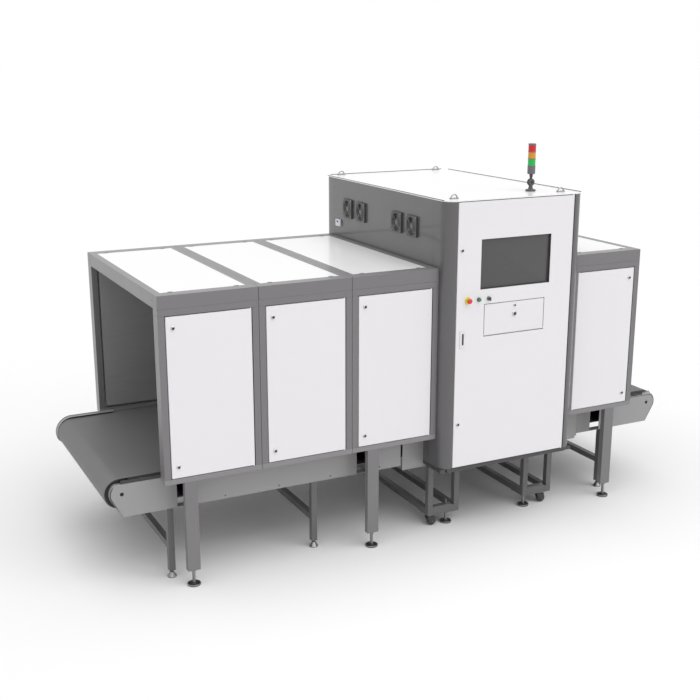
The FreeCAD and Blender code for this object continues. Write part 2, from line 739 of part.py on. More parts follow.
def conveyor_legs():
    half = THIN_LEG / 2
    places = [(x, y) for x in THIN_LEG_X for y in (-THIN_LEG_Y, THIN_LEG_Y)]
    return [around(x, y, half, half, THIN_LEG_BOTTOM, PLATE_BOTTOM) for x, y in places]


def conveyor_crossbars():
    half = THIN_LEG / 2
    top = CROSSBAR_BOTTOM + CROSSBAR_HEIGHT
    return [around(x, 0, half, THIN_LEG_Y - half, CROSSBAR_BOTTOM, top) for x in THIN_LEG_X]


def conveyor_feet():
    solids = []
    for x in THIN_LEG_X:
        for y in (-THIN_LEG_Y, THIN_LEG_Y):
            rim = rod(CONE_RADIUS, CONE_RIM, vec(x, y, 0), vec(0, 0, 1))
            height = THIN_LEG_BOTTOM - CONE_RIM
            cone = Part.makeCone(CONE_RADIUS, CONE_TOP_RADIUS, height, vec(x, y, CONE_RIM), vec(0, 0, 1))
            solids.append(rim.fuse(cone))
    return solids


# Stands and base of the cabinet

def stand_xs():
    return LEFT_STAND_X + RIGHT_STAND_X


def stand_posts():
    half = STAND_POST / 2
    places = [(x, y) for x in stand_xs() for y in (-STAND_Y, STAND_Y)]
    return [around(x, y, half, half, STAND_BOTTOM, BASE_BOTTOM) for x, y in places]


def stand_side_rails():
    # Each rail has a shoe under both ends, down to the bottom of the posts
    solids = []
    half = STAND_POST / 2
    low = STAND_BOTTOM + STAND_RAIL_RISE
    reach = STAND_Y - half
    for x in stand_xs():
        rail = around(x, 0, half, reach, low, low + STAND_RAIL_HEIGHT)
        shoe = around(x, -reach + STAND_SHOE / 2, half, STAND_SHOE / 2, STAND_BOTTOM, low)
        solids.append(rail.fuse([shoe, mirror_y(shoe)]))
    return solids


def stand_cross_bars():
    # The bar between the posts has its top corner rounded down to the right post
    solids = []
    half = STAND_POST / 2
    for left, right in (LEFT_STAND_X, RIGHT_STAND_X):
        x0 = left + half
        x1 = right - half
        low = STAND_BOTTOM
        high = STAND_BOTTOM + STAND_BAR_HEIGHT
        shoulder = (x1 - STAND_BAR_ROUND, high)
        end = (x1, high - STAND_BAR_DROP)
        radius = (STAND_BAR_ROUND ** 2 + STAND_BAR_DROP ** 2) / (2 * STAND_BAR_DROP)
        half_turn = degrees(asin(STAND_BAR_ROUND / radius)) / 2
        crown = on_circle((shoulder[0], high - radius), radius, 90 - half_turn)
        edges = [line((x0, low), (x1, low)), line((x1, low), end), bend(end, crown, shoulder),
                 line(shoulder, (x0, high)), line((x0, high), (x0, low))]
        on_left = left in LEFT_STAND_X
        caster_x = LEFT_CASTER_X if on_left else RIGHT_CASTER_X
        for y in (-STAND_Y, STAND_Y):
            bar = prism_y(edges, y - half, y + half)
            bar = bar.fuse(caster_plate(caster_x, y))
            if on_left:
                bar = bar.fuse(foot_bolt(LEFT_FOOT_X, y, high))
            solids.append(bar)
    return solids


def foot_bolt(x, y, z):
    # The top of a levelling bolt, with its lock nut, over the bar that it runs through
    corners = [on_circle((x, y), BOLT_NUT, 60 * i) for i in range(7)]
    hexagon = Part.makePolygon([vec(corner[0], corner[1], z) for corner in corners])
    nut = Part.Face(hexagon).extrude(vec(0, 0, BOLT_NUT_HEIGHT))
    return nut.fuse(rod(BOLT_RADIUS, BOLT_RISE, vec(x, y, z), vec(0, 0, 1)))


def base_frame():
    # A floor sheet with rounded corners front and back of the conveyor, on rails that sit on the stands
    half = STAND_POST / 2
    inner = STAND_Y - half
    top = CABINET_BOTTOM - FLOOR_SHEET
    pair = []
    for outer in (CABINET_FRONT, -CABINET_BACK):
        front = outer + BASE_INSET
        sheet = box(CABINET_LEFT, CABINET_RIGHT, outer, -inner, top, CABINET_BOTTOM)
        frame = round_upright_edges(sheet, COLUMN_RADIUS, outer + 1)
        rail = box(CABINET_LEFT + STAND_POST + BASE_INSET, CABINET_RIGHT - STAND_POST - BASE_INSET, front,
                   front + STAND_POST, BASE_BOTTOM, top)
        frame = frame.fuse(rail)
        for x in (CABINET_LEFT, CABINET_RIGHT - STAND_POST):
            frame = frame.fuse(box(x, x + STAND_POST, outer + BASE_RAIL_END, -inner, BASE_BOTTOM, top))
        for x in stand_xs():
            frame = frame.fuse(box(x - half, x + half, front + STAND_POST, -inner, BASE_BOTTOM, top))
        pair.append(frame)
    return [pair[0], mirror_y(pair[1])]


# Casters

def caster_fork(x, y):
    # Swivel plate and two rounded cheeks, one each side of the wheel
    top = STAND_BOTTOM
    plate_bottom = top - CASTER_PLATE
    neck_bottom = plate_bottom - CASTER_SWIVEL_HEIGHT
    axle = (x + CASTER_TRAIL, WHEEL_LIFT + WHEEL_RADIUS)
    roof_bottom = neck_bottom - CASTER_FORK_SHEET
    half_gap = WHEEL_WIDTH / 2 + CASTER_FORK_GAP
    neck = rod(CASTER_SWIVEL_RADIUS, CASTER_SWIVEL_HEIGHT, vec(x, y, neck_bottom), vec(0, 0, 1))
    half_roof = CASTER_FORK_WIDTH / 2
    roof = around(x, y, half_roof, half_gap + CASTER_FORK_SHEET, roof_bottom, neck_bottom)
    fork = neck.fuse(roof)
    left_tangent = tangent_point((x - half_roof, roof_bottom), axle, CASTER_CHEEK_RADIUS, -1)
    right_tangent = tangent_point((x + half_roof, roof_bottom), axle, CASTER_CHEEK_RADIUS, 1)
    edges = [line((x - half_roof, roof_bottom), left_tangent),
             bend(left_tangent, (axle[0], axle[1] - CASTER_CHEEK_RADIUS), right_tangent),
             line(right_tangent, (x + half_roof, roof_bottom)),
             line((x + half_roof, roof_bottom), (x - half_roof, roof_bottom))]
    for start in (y - half_gap - CASTER_FORK_SHEET, y + half_gap):
        cheek = prism_y(edges, start, start + CASTER_FORK_SHEET)
        fork = fork.fuse(cheek)
    half_pin = half_gap + CASTER_FORK_SHEET + CASTER_PIN_REACH
    return fork.fuse(rod(CASTER_AXLE_RADIUS, 2 * half_pin, vec(axle[0], y - half_pin, axle[1]), vec(0, 1, 0)))


def tangent_point(start, centre, radius, side):
    # Where a line from start touches the circle, on its left (-1) or right (1) side seen from the front
    dx = start[0] - centre[0]
    dz = start[1] - centre[1]
    away = sqrt(dx * dx + dz * dz)
    towards = degrees(asin(dz / away))
    if dx < 0:
        towards = 180 - towards
    return on_circle(centre, radius, towards - side * (90 - degrees(asin(radius / away))))


def caster_wheel(x, y):
    axle = vec(x + CASTER_TRAIL, y - WHEEL_WIDTH / 2, WHEEL_LIFT + WHEEL_RADIUS)
    wheel = rod(WHEEL_RADIUS, WHEEL_WIDTH, axle, vec(0, 1, 0))
    rims = [edge for edge in wheel.Edges if edge.Length > 2 * WHEEL_RADIUS * pi - 1]
    wheel = wheel.makeFillet(WHEEL_ROUND, rims)
    return wheel.cut(rod(CASTER_AXLE_RADIUS + AXLE_FIT, WHEEL_WIDTH, axle, vec(0, 1, 0)))


def caster_plate(x, y):
    half = CASTER_PLATE_SIZE / 2
    return around(x, y, half, half, STAND_BOTTOM - CASTER_PLATE, STAND_BOTTOM)


def back_casters():
    solids = []
    for x in (LEFT_CASTER_X, RIGHT_CASTER_X):
        solids.append(caster_fork(x, STAND_Y))
        solids.append(caster_wheel(x, STAND_Y))
    return solids


# Cabinet shell

def corner_column(left_side):
    # A rolled sheet: side strip, quarter round and a return flange that the door shuts against
    outer = CABINET_LEFT
    centre_x = outer + COLUMN_RADIUS
    centre_y = CABINET_FRONT + COLUMN_RADIUS
    strip_end = centre_y + COLUMN_STRIP
    inner = COLUMN_RADIUS - SHEET
    diagonal = sqrt(0.5)
    back = CABINET_FRONT + COLUMN_RETURN
    points = [vec(outer, strip_end, 0), vec(outer, centre_y, 0),
              vec(centre_x, CABINET_FRONT, 0), vec(centre_x, back, 0), vec(centre_x - SHEET, back, 0),
              vec(centre_x - SHEET, CABINET_FRONT + SHEET, 0), vec(outer + SHEET, centre_y, 0),
              vec(outer + SHEET, strip_end, 0)]
    outer_mid = vec(centre_x - COLUMN_RADIUS * diagonal, centre_y - COLUMN_RADIUS * diagonal, 0)
    inner_mid = vec(centre_x - SHEET - (inner - SHEET) * diagonal, centre_y - inner * diagonal, 0)
    edges = [Part.makeLine(points[0], points[1]),
             Part.Arc(points[1], outer_mid, points[2]).toShape(),
             Part.makeLine(points[2], points[3]),
             Part.makeLine(points[3], points[4]),
             Part.makeLine(points[4], points[5]),
             Part.Arc(points[5], inner_mid, points[6]).toShape(),
             Part.makeLine(points[6], points[7]),
             Part.makeLine(points[7], points[0])]
    face = Part.Face(Part.Wire(edges))
    column = face.extrude(vec(0, 0, CABINET_TOP - ROOF_HEIGHT - CABINET_BOTTOM))
    column.translate(vec(0, 0, CABINET_BOTTOM))
    if not left_side:
        column = column.mirror(vec(CABINET_LEFT + CABINET_WIDTH / 2, 0, 0), vec(1, 0, 0))
    return column


def corner_columns():
    shift = CABINET_BACK + CABINET_FRONT
    solids = []
    for left_side in (True, False):
        front = corner_column(left_side)
        back = mirror_y(front)
        back.translate(vec(0, shift, 0))
        solids += [front, back]
    return solids


def side_wall(x0, x1):
    front = CABINET_FRONT + COLUMN_RADIUS + COLUMN_STRIP
    back = CABINET_BACK - COLUMN_RADIUS - COLUMN_STRIP
    return box(x0, x1, front, back, CEILING_Z, CABINET_TOP - ROOF_HEIGHT)


def cabinet_side_walls():
    return [side_wall(CABINET_LEFT, CABINET_LEFT + SHEET), side_wall(CABINET_RIGHT - SHEET, CABINET_RIGHT)]


def cabinet_back_panel():
    x0 = CABINET_LEFT + COLUMN_RADIUS
    x1 = CABINET_RIGHT - COLUMN_RADIUS
    panel = box(x0, x1, CABINET_BACK - DOOR_DEPTH, CABINET_BACK, CABINET_BOTTOM, CABINET_TOP - ROOF_HEIGHT)
    hollow = box(x0 + DOOR_SKIN, x1 - DOOR_SKIN, CABINET_BACK - DOOR_DEPTH, CABINET_BACK - DOOR_SKIN,
                 CABINET_BOTTOM + DOOR_SKIN, CABINET_TOP - ROOF_HEIGHT - DOOR_SKIN)
    panel = panel.cut(hollow)
    for z in DOOR_LOCK_Z:
        lock = round_lock(DOOR_LOCK_X, -CABINET_BACK, z, LOCK_RADIUS)
        panel = panel.fuse(mirror_y(lock))
    return [panel]


def cabinet_roof():
    # One folded sheet with the same rounded corners as the columns
    low = CABINET_TOP - ROOF_HEIGHT
    roof = box(CABINET_LEFT, CABINET_RIGHT, CABINET_FRONT, CABINET_BACK, low, CABINET_TOP)
    corners = [edge for edge in roof.Edges if abs(edge.BoundBox.ZLength - ROOF_HEIGHT) < 1e-6]
    roof = roof.makeFillet(COLUMN_RADIUS, corners)
    hollow = box(CABINET_LEFT + SHEET, CABINET_RIGHT - SHEET, CABINET_FRONT + SHEET, CABINET_BACK - SHEET,
                 low, CABINET_TOP - SHEET)
    corners = [edge for edge in hollow.Edges if abs(edge.BoundBox.ZLength - (ROOF_HEIGHT - SHEET)) < 1e-6]
    return [roof.cut(hollow.makeFillet(COLUMN_RADIUS - SHEET, corners))]


# Cabinet door and what it carries

def cabinet_door():
    skin_back = CABINET_FRONT + DOOR_SKIN
    back = CABINET_FRONT + DOOR_DEPTH
    leaf = box(DOOR_LEFT, DOOR_RIGHT, CABINET_FRONT, back, DOOR_BOTTOM, DOOR_TOP)
    leaf = round_upright_edges(leaf, DOOR_EDGE_ROUND, skin_back)
    hollow = box(DOOR_LEFT + DOOR_SKIN, DOOR_RIGHT - DOOR_SKIN, skin_back, back, DOOR_BOTTOM + DOOR_SKIN,
                 DOOR_TOP - DOOR_SKIN)
    hollow = round_upright_edges(hollow, DOOR_EDGE_ROUND - DOOR_SKIN, skin_back + DOOR_SKIN)
    leaf = leaf.cut(hollow)
    leaf = leaf.cut(box(SCREEN_LEFT, SCREEN_LEFT + SCREEN_WIDTH, CABINET_FRONT, back, SCREEN_BOTTOM,
                        SCREEN_BOTTOM + SCREEN_HEIGHT))
    leaf = leaf.cut(box(FLAP_LEFT - FLAP_GAP, FLAP_LEFT + FLAP_WIDTH + FLAP_GAP, CABINET_FRONT, back,
                        FLAP_BOTTOM - FLAP_GAP, FLAP_BOTTOM + FLAP_HEIGHT + FLAP_GAP))
    for z in DOOR_LOCK_Z:
        leaf = leaf.cut(door_hole(DOOR_LOCK_X, z, LOCK_SHANK_RADIUS + LOCK_FIT))
    leaf = leaf.cut(door_hole(ESTOP_X, BUTTON_Z, ESTOP_NECK_RADIUS + BUTTON_FIT))
    for x in (START_X, KEY_X):
        leaf = leaf.cut(door_hole(x, BUTTON_Z, BUTTON_RADIUS + BUTTON_FIT))
    pins = hinge_pins(DOOR_RIGHT - DOOR_EDGE_ROUND, CABINET_FRONT + DOOR_EDGE_ROUND, DOOR_PIN_RADIUS,
                      DOOR_BOTTOM, DOOR_TOP, DOOR_GAP)
    return [leaf.fuse(pins)]


def door_hole(x, z, radius):
    return rod(radius, 3 * DOOR_SKIN, vec(x, CABINET_FRONT - DOOR_SKIN, z), vec(0, 1, 0))


def monitor_screen():
    # The case bears on the back of the door sheet all round the window, and the glass lies deeper
    front = CABINET_FRONT + DOOR_SKIN
    right = SCREEN_LEFT + SCREEN_WIDTH
    top = SCREEN_BOTTOM + SCREEN_HEIGHT
    case = box(SCREEN_LEFT - SCREEN_BORDER, right + SCREEN_BORDER, front, front + SCREEN_DEPTH,
               SCREEN_BOTTOM - SCREEN_BORDER, top + SCREEN_BORDER)
    return [case.cut(box(SCREEN_LEFT, right, front, CABINET_FRONT + SCREEN_SET_BACK, SCREEN_BOTTOM, top))]


def keyboard_tray():
    # The recess behind the flap: a sheet box open to the front
    x0 = FLAP_LEFT - FLAP_GAP - TRAY_SHEET
    x1 = FLAP_LEFT + FLAP_WIDTH + FLAP_GAP + TRAY_SHEET
    z0 = FLAP_BOTTOM - FLAP_GAP - TRAY_SHEET
    z1 = FLAP_BOTTOM + FLAP_HEIGHT + FLAP_GAP + TRAY_SHEET
    front = CABINET_FRONT + DOOR_SKIN
    tray = box(x0, x1, front, front + TRAY_DEPTH, z0, z1)
    hollow = box(x0 + TRAY_SHEET, x1 - TRAY_SHEET, front, front + TRAY_DEPTH - TRAY_SHEET,
                 z0 + TRAY_SHEET, z1 - TRAY_SHEET)
    return [tray.cut(hollow)]


def keyboard_flap():
    flap = box(FLAP_LEFT, FLAP_LEFT + FLAP_WIDTH, CABINET_FRONT, CABINET_FRONT + FLAP_THICK, FLAP_BOTTOM,
               FLAP_BOTTOM + FLAP_HEIGHT)
    flap = flap.makeFillet(FLAP_ROUND, long_edge(flap, CABINET_FRONT, FLAP_BOTTOM))
    for z, radius in zip(FLAP_LOCK_Z, FLAP_LOCK_RADIUS):
        bore = min(LOCK_SHANK_RADIUS, radius * LOCK_NECK) + LOCK_FIT
        flap = flap.cut(rod(bore, FLAP_THICK, vec(DOOR_CENTRE, CABINET_FRONT, z), vec(0, 1, 0)))
    pin = rod(FLAP_PIN_RADIUS, FLAP_GAP,
              vec(FLAP_LEFT - FLAP_GAP, CABINET_FRONT + FLAP_ROUND, FLAP_BOTTOM + FLAP_ROUND), vec(1, 0, 0))
    other = pin.copy()
    other.translate(vec(FLAP_WIDTH + FLAP_GAP, 0, 0))
    return [flap.fuse([pin, other])]


def flap_locks():
    places = zip(FLAP_LOCK_Z, FLAP_LOCK_RADIUS)
    return [round_lock(DOOR_CENTRE, CABINET_FRONT, z, radius) for z, radius in places]


def door_locks():
    return [round_lock(DOOR_LOCK_X, CABINET_FRONT, z, LOCK_RADIUS) for z in DOOR_LOCK_Z]


def door_handle():
    y0 = CABINET_FRONT - HANDLE_REACH
    plate = box(HANDLE_X - HANDLE_WIDTH / 2, HANDLE_X + HANDLE_WIDTH / 2, y0, CABINET_FRONT,
                HANDLE_Z - HANDLE_HEIGHT / 2, HANDLE_Z + HANDLE_HEIGHT / 2)
    corners = [edge for edge in plate.Edges if abs(edge.BoundBox.YLength - HANDLE_REACH) < 1e-6]
    plate = plate.makeFillet(HANDLE_ROUND, corners)
    half = HANDLE_SLOT_WIDTH / 2
    depth = HANDLE_REACH - HANDLE_SLOT_FLOOR
    low = HANDLE_Z - HANDLE_SLOT_HEIGHT / 2
    round_z = HANDLE_Z + HANDLE_SLOT_HEIGHT / 2 - half
    slot = box(HANDLE_X - half, HANDLE_X + half, y0, y0 + depth, low, round_z)
    return [plate.cut([slot, rod(half, depth, vec(HANDLE_X, y0, round_z), vec(0, 1, 0))])]


def collar(x, radius, reach, bore):
    ring = rod(radius, reach, vec(x, CABINET_FRONT - reach, BUTTON_Z), vec(0, 1, 0))
    return ring.cut(rod(bore, reach, vec(x, CABINET_FRONT - reach, BUTTON_Z), vec(0, 1, 0)))


def estop_collar():
    return [collar(ESTOP_X, ESTOP_COLLAR_RADIUS, ESTOP_COLLAR_REACH, ESTOP_NECK_RADIUS + BUTTON_FIT)]


def button_collars():
    bore = BUTTON_RADIUS + BUTTON_FIT
    return [collar(x, BUTTON_COLLAR_RADIUS, BUTTON_COLLAR_REACH, bore) for x in (START_X, KEY_X)]


def estop_button():
    tip = CABINET_FRONT - ESTOP_REACH
    head = rod(ESTOP_HEAD_RADIUS, ESTOP_HEAD_HEIGHT, vec(ESTOP_X, tip, BUTTON_Z), vec(0, 1, 0))
    rim = [edge for edge in head.Edges if edge.BoundBox.YMax < tip + 0.01]
    head = head.makeFillet(ESTOP_HEAD_HEIGHT * ESTOP_CROWN, rim)
    neck = rod(ESTOP_NECK_RADIUS, ESTOP_REACH - ESTOP_HEAD_HEIGHT + DOOR_SKIN,
               vec(ESTOP_X, tip + ESTOP_HEAD_HEIGHT, BUTTON_Z), vec(0, 1, 0))
    return [head.fuse(neck)]


def start_button():
    tip = vec(START_X, CABINET_FRONT - BUTTON_REACH, BUTTON_Z)
    return [rod(BUTTON_RADIUS, BUTTON_REACH + DOOR_SKIN, tip, vec(0, 1, 0))]


def key_switch():
    face = CABINET_FRONT - BUTTON_COLLAR_REACH
    barrel = rod(BUTTON_RADIUS, BUTTON_COLLAR_REACH + DOOR_SKIN, vec(KEY_X, face, BUTTON_Z), vec(0, 1, 0))
    key = box(KEY_X - KEY_THICK / 2, KEY_X + KEY_THICK / 2, face - BUTTON_REACH, face,
              BUTTON_Z - BUTTON_RADIUS, BUTTON_Z + BUTTON_RADIUS)
    return [barrel.fuse(key)]


# Roof and side fittings

def lifting_eyes():
    solids = []
    for x in EYE_X:
        for y in EYE_Y:
            top = CABINET_TOP + EYE_PLATE_HEIGHT
            plate = around(x, y, EYE_PLATE_X / 2, EYE_PLATE_Y / 2, CABINET_TOP, top)
            ring = Part.makeTorus(EYE_RING_RADIUS, EYE_ROD_RADIUS, vec(x, y, top), vec(0, 1, 0))
            upper = around(x, y, EYE_PLATE_X, EYE_PLATE_Y, CABINET_TOP + EYE_PLATE_HEIGHT / 2,
                           CABINET_TOP + EYE_PLATE_X)
            solids.append(plate.fuse(ring.common(upper)))
    return solids


def guard_ring(face, y, radius):
    ring = rod(radius + FAN_WIRE / 2, FAN_WIRE, vec(face, y, FAN_Z), vec(1, 0, 0))
    return ring.cut(rod(radius - FAN_WIRE / 2, FAN_WIRE, vec(face, y, FAN_Z), vec(1, 0, 0)))


def turned(shape, y, angle):
    shape.rotate(vec(0, y, FAN_Z), vec(1, 0, 0), angle)
    return shape


def fan_blade(middle, y):
    # A flat blade from the hub to just inside the bore, twisted about its own radial line
    root = FAN_HUB_RADIUS - FAN_BLADE_THICK
    tip = FAN_BORE_RADIUS - FAN_BLADE_TIP_GAP
    blade = box(middle - FAN_BLADE_THICK / 2, middle + FAN_BLADE_THICK / 2, y - FAN_BLADE_CHORD / 2,
                y + FAN_BLADE_CHORD / 2, FAN_Z + root, FAN_Z + tip)
    blade.rotate(vec(middle, y, FAN_Z), vec(0, 0, 1), FAN_BLADE_TWIST)
    return blade


def fan(y):
    # Square housing with a round bore, a bladed rotor in it, and a guard of rings and spokes over its mouth
    half = FAN_SIZE / 2
    face = CABINET_LEFT - FAN_DEPTH
    housing = box(face, CABINET_LEFT, y - half, y + half, FAN_Z - half, FAN_Z + half)
    corners = [edge for edge in housing.Edges if abs(edge.BoundBox.XLength - FAN_DEPTH) < 1e-6]
    housing = housing.makeFillet(FAN_CORNER, corners)
    bore_depth = FAN_DEPTH - FAN_WIRE
    housing = housing.cut(rod(FAN_BORE_RADIUS, bore_depth, vec(face, y, FAN_Z), vec(1, 0, 0)))
    parts = [rod(FAN_HUB_RADIUS, bore_depth, vec(face, y, FAN_Z), vec(1, 0, 0))]
    middle = face + (FAN_DEPTH + FAN_WIRE) / 2
    for i in range(FAN_BLADES):
        parts.append(turned(fan_blade(middle, y), y, 360.0 * i / FAN_BLADES))
    for radius in FAN_RING_RADIUS:
        parts.append(guard_ring(face, y, radius))
    for i in range(FAN_SPOKES):
        spoke = box(face, face + FAN_WIRE, y - FAN_WIRE / 2, y + FAN_WIRE / 2,
                    FAN_Z + FAN_HUB_RADIUS - FAN_WIRE, FAN_Z + FAN_BORE_RADIUS + FAN_WIRE)
        parts.append(turned(spoke, y, 45 + 360.0 * i / FAN_SPOKES))
    return housing.fuse(parts)


def side_fans():
    return [fan(y) for y in FAN_Y]


def side_sensor():
    case = around(CABINET_LEFT - SENSOR_DEPTH / 2, SENSOR_Y, SENSOR_DEPTH / 2, SENSOR_WIDTH / 2,
                  SENSOR_Z - SENSOR_HEIGHT / 2, SENSOR_Z + SENSOR_HEIGHT / 2)
    edges = [edge for edge in case.Edges if abs(edge.BoundBox.XLength - SENSOR_DEPTH) < 1e-6]
    return [case.makeFillet(SENSOR_ROUND, edges)]


def tower_axis_rod(radius, z0, height):
    return rod(radius, height, vec(TOWER_X, TOWER_Y, z0), vec(0, 0, 1))


def tower_base():
    # Flange, cone and two cheeks with the folding pin between them
    flange = tower_axis_rod(TOWER_FLANGE_RADIUS, CABINET_TOP, TOWER_FLANGE_HEIGHT)
    cone_bottom = CABINET_TOP + TOWER_FLANGE_HEIGHT
    cone_top = TOWER_PIVOT_Z - TOWER_CHEEK_RADIUS
    cone = Part.makeCone(TOWER_CONE_RADIUS, TOWER_THROAT_RADIUS, cone_top - cone_bottom,
                         vec(TOWER_X, TOWER_Y, cone_bottom), vec(0, 0, 1))
    half = TOWER_TONGUE_THICK / 2 + TOWER_TONGUE_GAP
    outer = half + TOWER_CHEEK_THICK
    web = TOWER_CHEEK_RADIUS * TOWER_WEB
    # The saddle under the tongue joins the cone to both cheeks
    saddle_top = TOWER_PIVOT_Z - TOWER_TONGUE_RADIUS - TOWER_TONGUE_GAP
    saddle = around(TOWER_X, TOWER_Y, web, outer, cone_top, saddle_top)
    parts = [cone, saddle]
    for start in (TOWER_Y - outer, TOWER_Y + half):
        centre = vec(TOWER_X, start, TOWER_PIVOT_Z)
        parts.append(rod(TOWER_CHEEK_RADIUS, TOWER_CHEEK_THICK, centre, vec(0, 1, 0)))
    parts.append(rod(TOWER_PIN_RADIUS, 2 * outer, vec(TOWER_X, TOWER_Y - outer, TOWER_PIVOT_Z), vec(0, 1, 0)))
    return [flange.fuse(parts)]


def tower_stem():
    half = TOWER_TONGUE_THICK / 2
    centre = vec(TOWER_X, TOWER_Y - half, TOWER_PIVOT_Z)
    tongue = rod(TOWER_TONGUE_RADIUS, TOWER_TONGUE_THICK, centre, vec(0, 1, 0))
    body_z = CABINET_TOP + TOWER_BODY_BOTTOM
    neck_z = TOWER_PIVOT_Z + TOWER_CHEEK_RADIUS + TOWER_TONGUE_GAP
    web = TOWER_CHEEK_RADIUS * TOWER_WEB
    bridge = around(TOWER_X, TOWER_Y, web, half, TOWER_PIVOT_Z, neck_z)
    neck = tower_axis_rod(TOWER_NECK_RADIUS, neck_z, body_z - neck_z)
    body = tower_axis_rod(TOWER_BODY_RADIUS, body_z, TOWER_BODY_HEIGHT)
    stem = tongue.fuse([bridge, neck, body])
    return [stem.cut(rod(TOWER_PIN_RADIUS + AXLE_FIT, TOWER_TONGUE_THICK, centre, vec(0, 1, 0)))]


def lamp(index):
    low = CABINET_TOP + TOWER_BODY_BOTTOM + TOWER_BODY_HEIGHT + index * LAMP_HEIGHT
    return [tower_axis_rod(LAMP_RADIUS, low, LAMP_HEIGHT)]


def tower_cap():
    z = CABINET_TOP + TOWER_BODY_BOTTOM + TOWER_BODY_HEIGHT + 3 * LAMP_HEIGHT
    cap = tower_axis_rod(TOWER_BODY_RADIUS, z, CAP_HEIGHT)
    rim = [edge for edge in cap.Edges if edge.BoundBox.ZMin > z + CAP_HEIGHT - 0.01]
    return [cap.makeFillet(CAP_HEIGHT / 2, rim)]


def build():
    os.makedirs("parts", exist_ok=True)
    save("tunnel_posts", tunnel_posts())
    save("tunnel_sills", tunnel_sills())
    save("tunnel_headers", tunnel_headers())
    save("tunnel_cross_beams", tunnel_cross_beams())
    save("tunnel_roof_panels", tunnel_roof_panels())
    save("tunnel_side_linings", tunnel_side_linings())
    save("tunnel_ceilings", tunnel_ceilings())
    save("back_access_panels", back_access_panels())
    for number, bay in enumerate(bays(), 1):
        on_right = bay[0] == CABINET_RIGHT
        save("side_panel_%d" % number, [access_panel(bay, on_right)])
        save("side_panel_locks_%d" % number, panel_locks(bay, on_right))
    save("tunnel_legs", tunnel_legs())
    save("levelling_feet", levelling_feet() + conveyor_feet())
    save("conveyor_side_plates", conveyor_side_plates())
    save("belt", belt())
    save("end_drums", end_drums())
    save("slider_bed", slider_bed())
    save("conveyor_legs", conveyor_legs())
    save("conveyor_crossbars", conveyor_crossbars())
    save("stand_posts", stand_posts())
    save("stand_side_rails", stand_side_rails())
    save("stand_cross_bars", stand_cross_bars())
    save("base_frame", base_frame())
    save("left_caster_fork", [caster_fork(LEFT_CASTER_X, -STAND_Y)])
    save("left_caster_wheel", [caster_wheel(LEFT_CASTER_X, -STAND_Y)])
    save("right_caster_fork", [caster_fork(RIGHT_CASTER_X, -STAND_Y)])
    save("right_caster_wheel", [caster_wheel(RIGHT_CASTER_X, -STAND_Y)])
    save("back_casters", back_casters())
    save("corner_columns", corner_columns())
    save("cabinet_side_walls", cabinet_side_walls())
    save("cabinet_back_panel", cabinet_back_panel())
    save("cabinet_roof", cabinet_roof())
    save("cabinet_door", cabinet_door())
    save("monitor_screen", monitor_screen())
    save("keyboard_tray", keyboard_tray())
    save("keyboard_flap", keyboard_flap())
    save("flap_locks", flap_locks())
    save("door_locks", door_locks())
    save("door_handle", door_handle())
    save("estop_collar", estop_collar())
    save("button_collars", button_collars())
    save("estop_button", estop_button())
    save("start_button", start_button())
    save("key_switch", key_switch())
    save("lifting_eyes", lifting_eyes())
    save("side_fans", side_fans())
    save("side_sensor", side_sensor())
    save("tower_base", tower_base())
    save("tower_stem", tower_stem())
    for index, colour in enumerate(("green", "amber", "red")):
        save("tower_%s_lamp" % colour, lamp(index))
    save("tower_cap", tower_cap())


build()
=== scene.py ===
"""Baggage x-ray scanner: finishes, fine fittings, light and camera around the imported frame."""

import json
import logging
import math
from dataclasses import dataclass
from enum import Enum
from typing import Sequence, Union

import bmesh
import bpy
import numpy as np
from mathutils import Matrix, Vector


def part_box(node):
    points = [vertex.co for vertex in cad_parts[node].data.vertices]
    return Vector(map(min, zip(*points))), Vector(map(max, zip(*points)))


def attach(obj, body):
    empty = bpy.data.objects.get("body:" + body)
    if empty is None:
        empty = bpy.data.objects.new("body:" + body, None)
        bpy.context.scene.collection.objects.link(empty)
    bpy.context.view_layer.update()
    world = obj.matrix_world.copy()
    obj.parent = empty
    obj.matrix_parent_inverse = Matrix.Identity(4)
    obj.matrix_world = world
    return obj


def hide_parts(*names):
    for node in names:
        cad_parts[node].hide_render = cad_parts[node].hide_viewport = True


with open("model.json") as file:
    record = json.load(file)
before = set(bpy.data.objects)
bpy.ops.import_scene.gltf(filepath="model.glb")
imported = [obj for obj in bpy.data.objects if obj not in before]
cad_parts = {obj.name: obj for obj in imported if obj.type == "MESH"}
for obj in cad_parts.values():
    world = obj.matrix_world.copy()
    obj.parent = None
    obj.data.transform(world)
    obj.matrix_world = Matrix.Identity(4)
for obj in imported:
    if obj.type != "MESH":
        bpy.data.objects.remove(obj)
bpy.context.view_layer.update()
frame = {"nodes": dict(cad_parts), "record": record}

LOG = logging.getLogger("scanner")
MM = 0.001
Colour = tuple[float, float, float]


class Slot(Enum):
    """Material slots of the record."""

    FRAME = "frame_paint"
    PANEL = "panel_paint"
    ROOF = "roof_paint"
    WALL = "wall_paint"
    LINING = "lining"
    CONVEYOR = "conveyor_paint"
    STAND = "stand_paint"
    BELT = "belt"
    STEEL = "steel"
    CHROME = "chrome"
    DARK = "dark_plastic"
    SCREEN = "screen"
    WHITE = "white_plastic"
    HANDLE = "handle_plastic"
    YELLOW = "yellow_plastic"
    RED = "red_plastic"
    GREEN = "green_plastic"
    RED_LENS = "red_lens"
    AMBER_LENS = "amber_lens"
    GREEN_LENS = "green_lens"
    TREAD = "wheel_rubber"


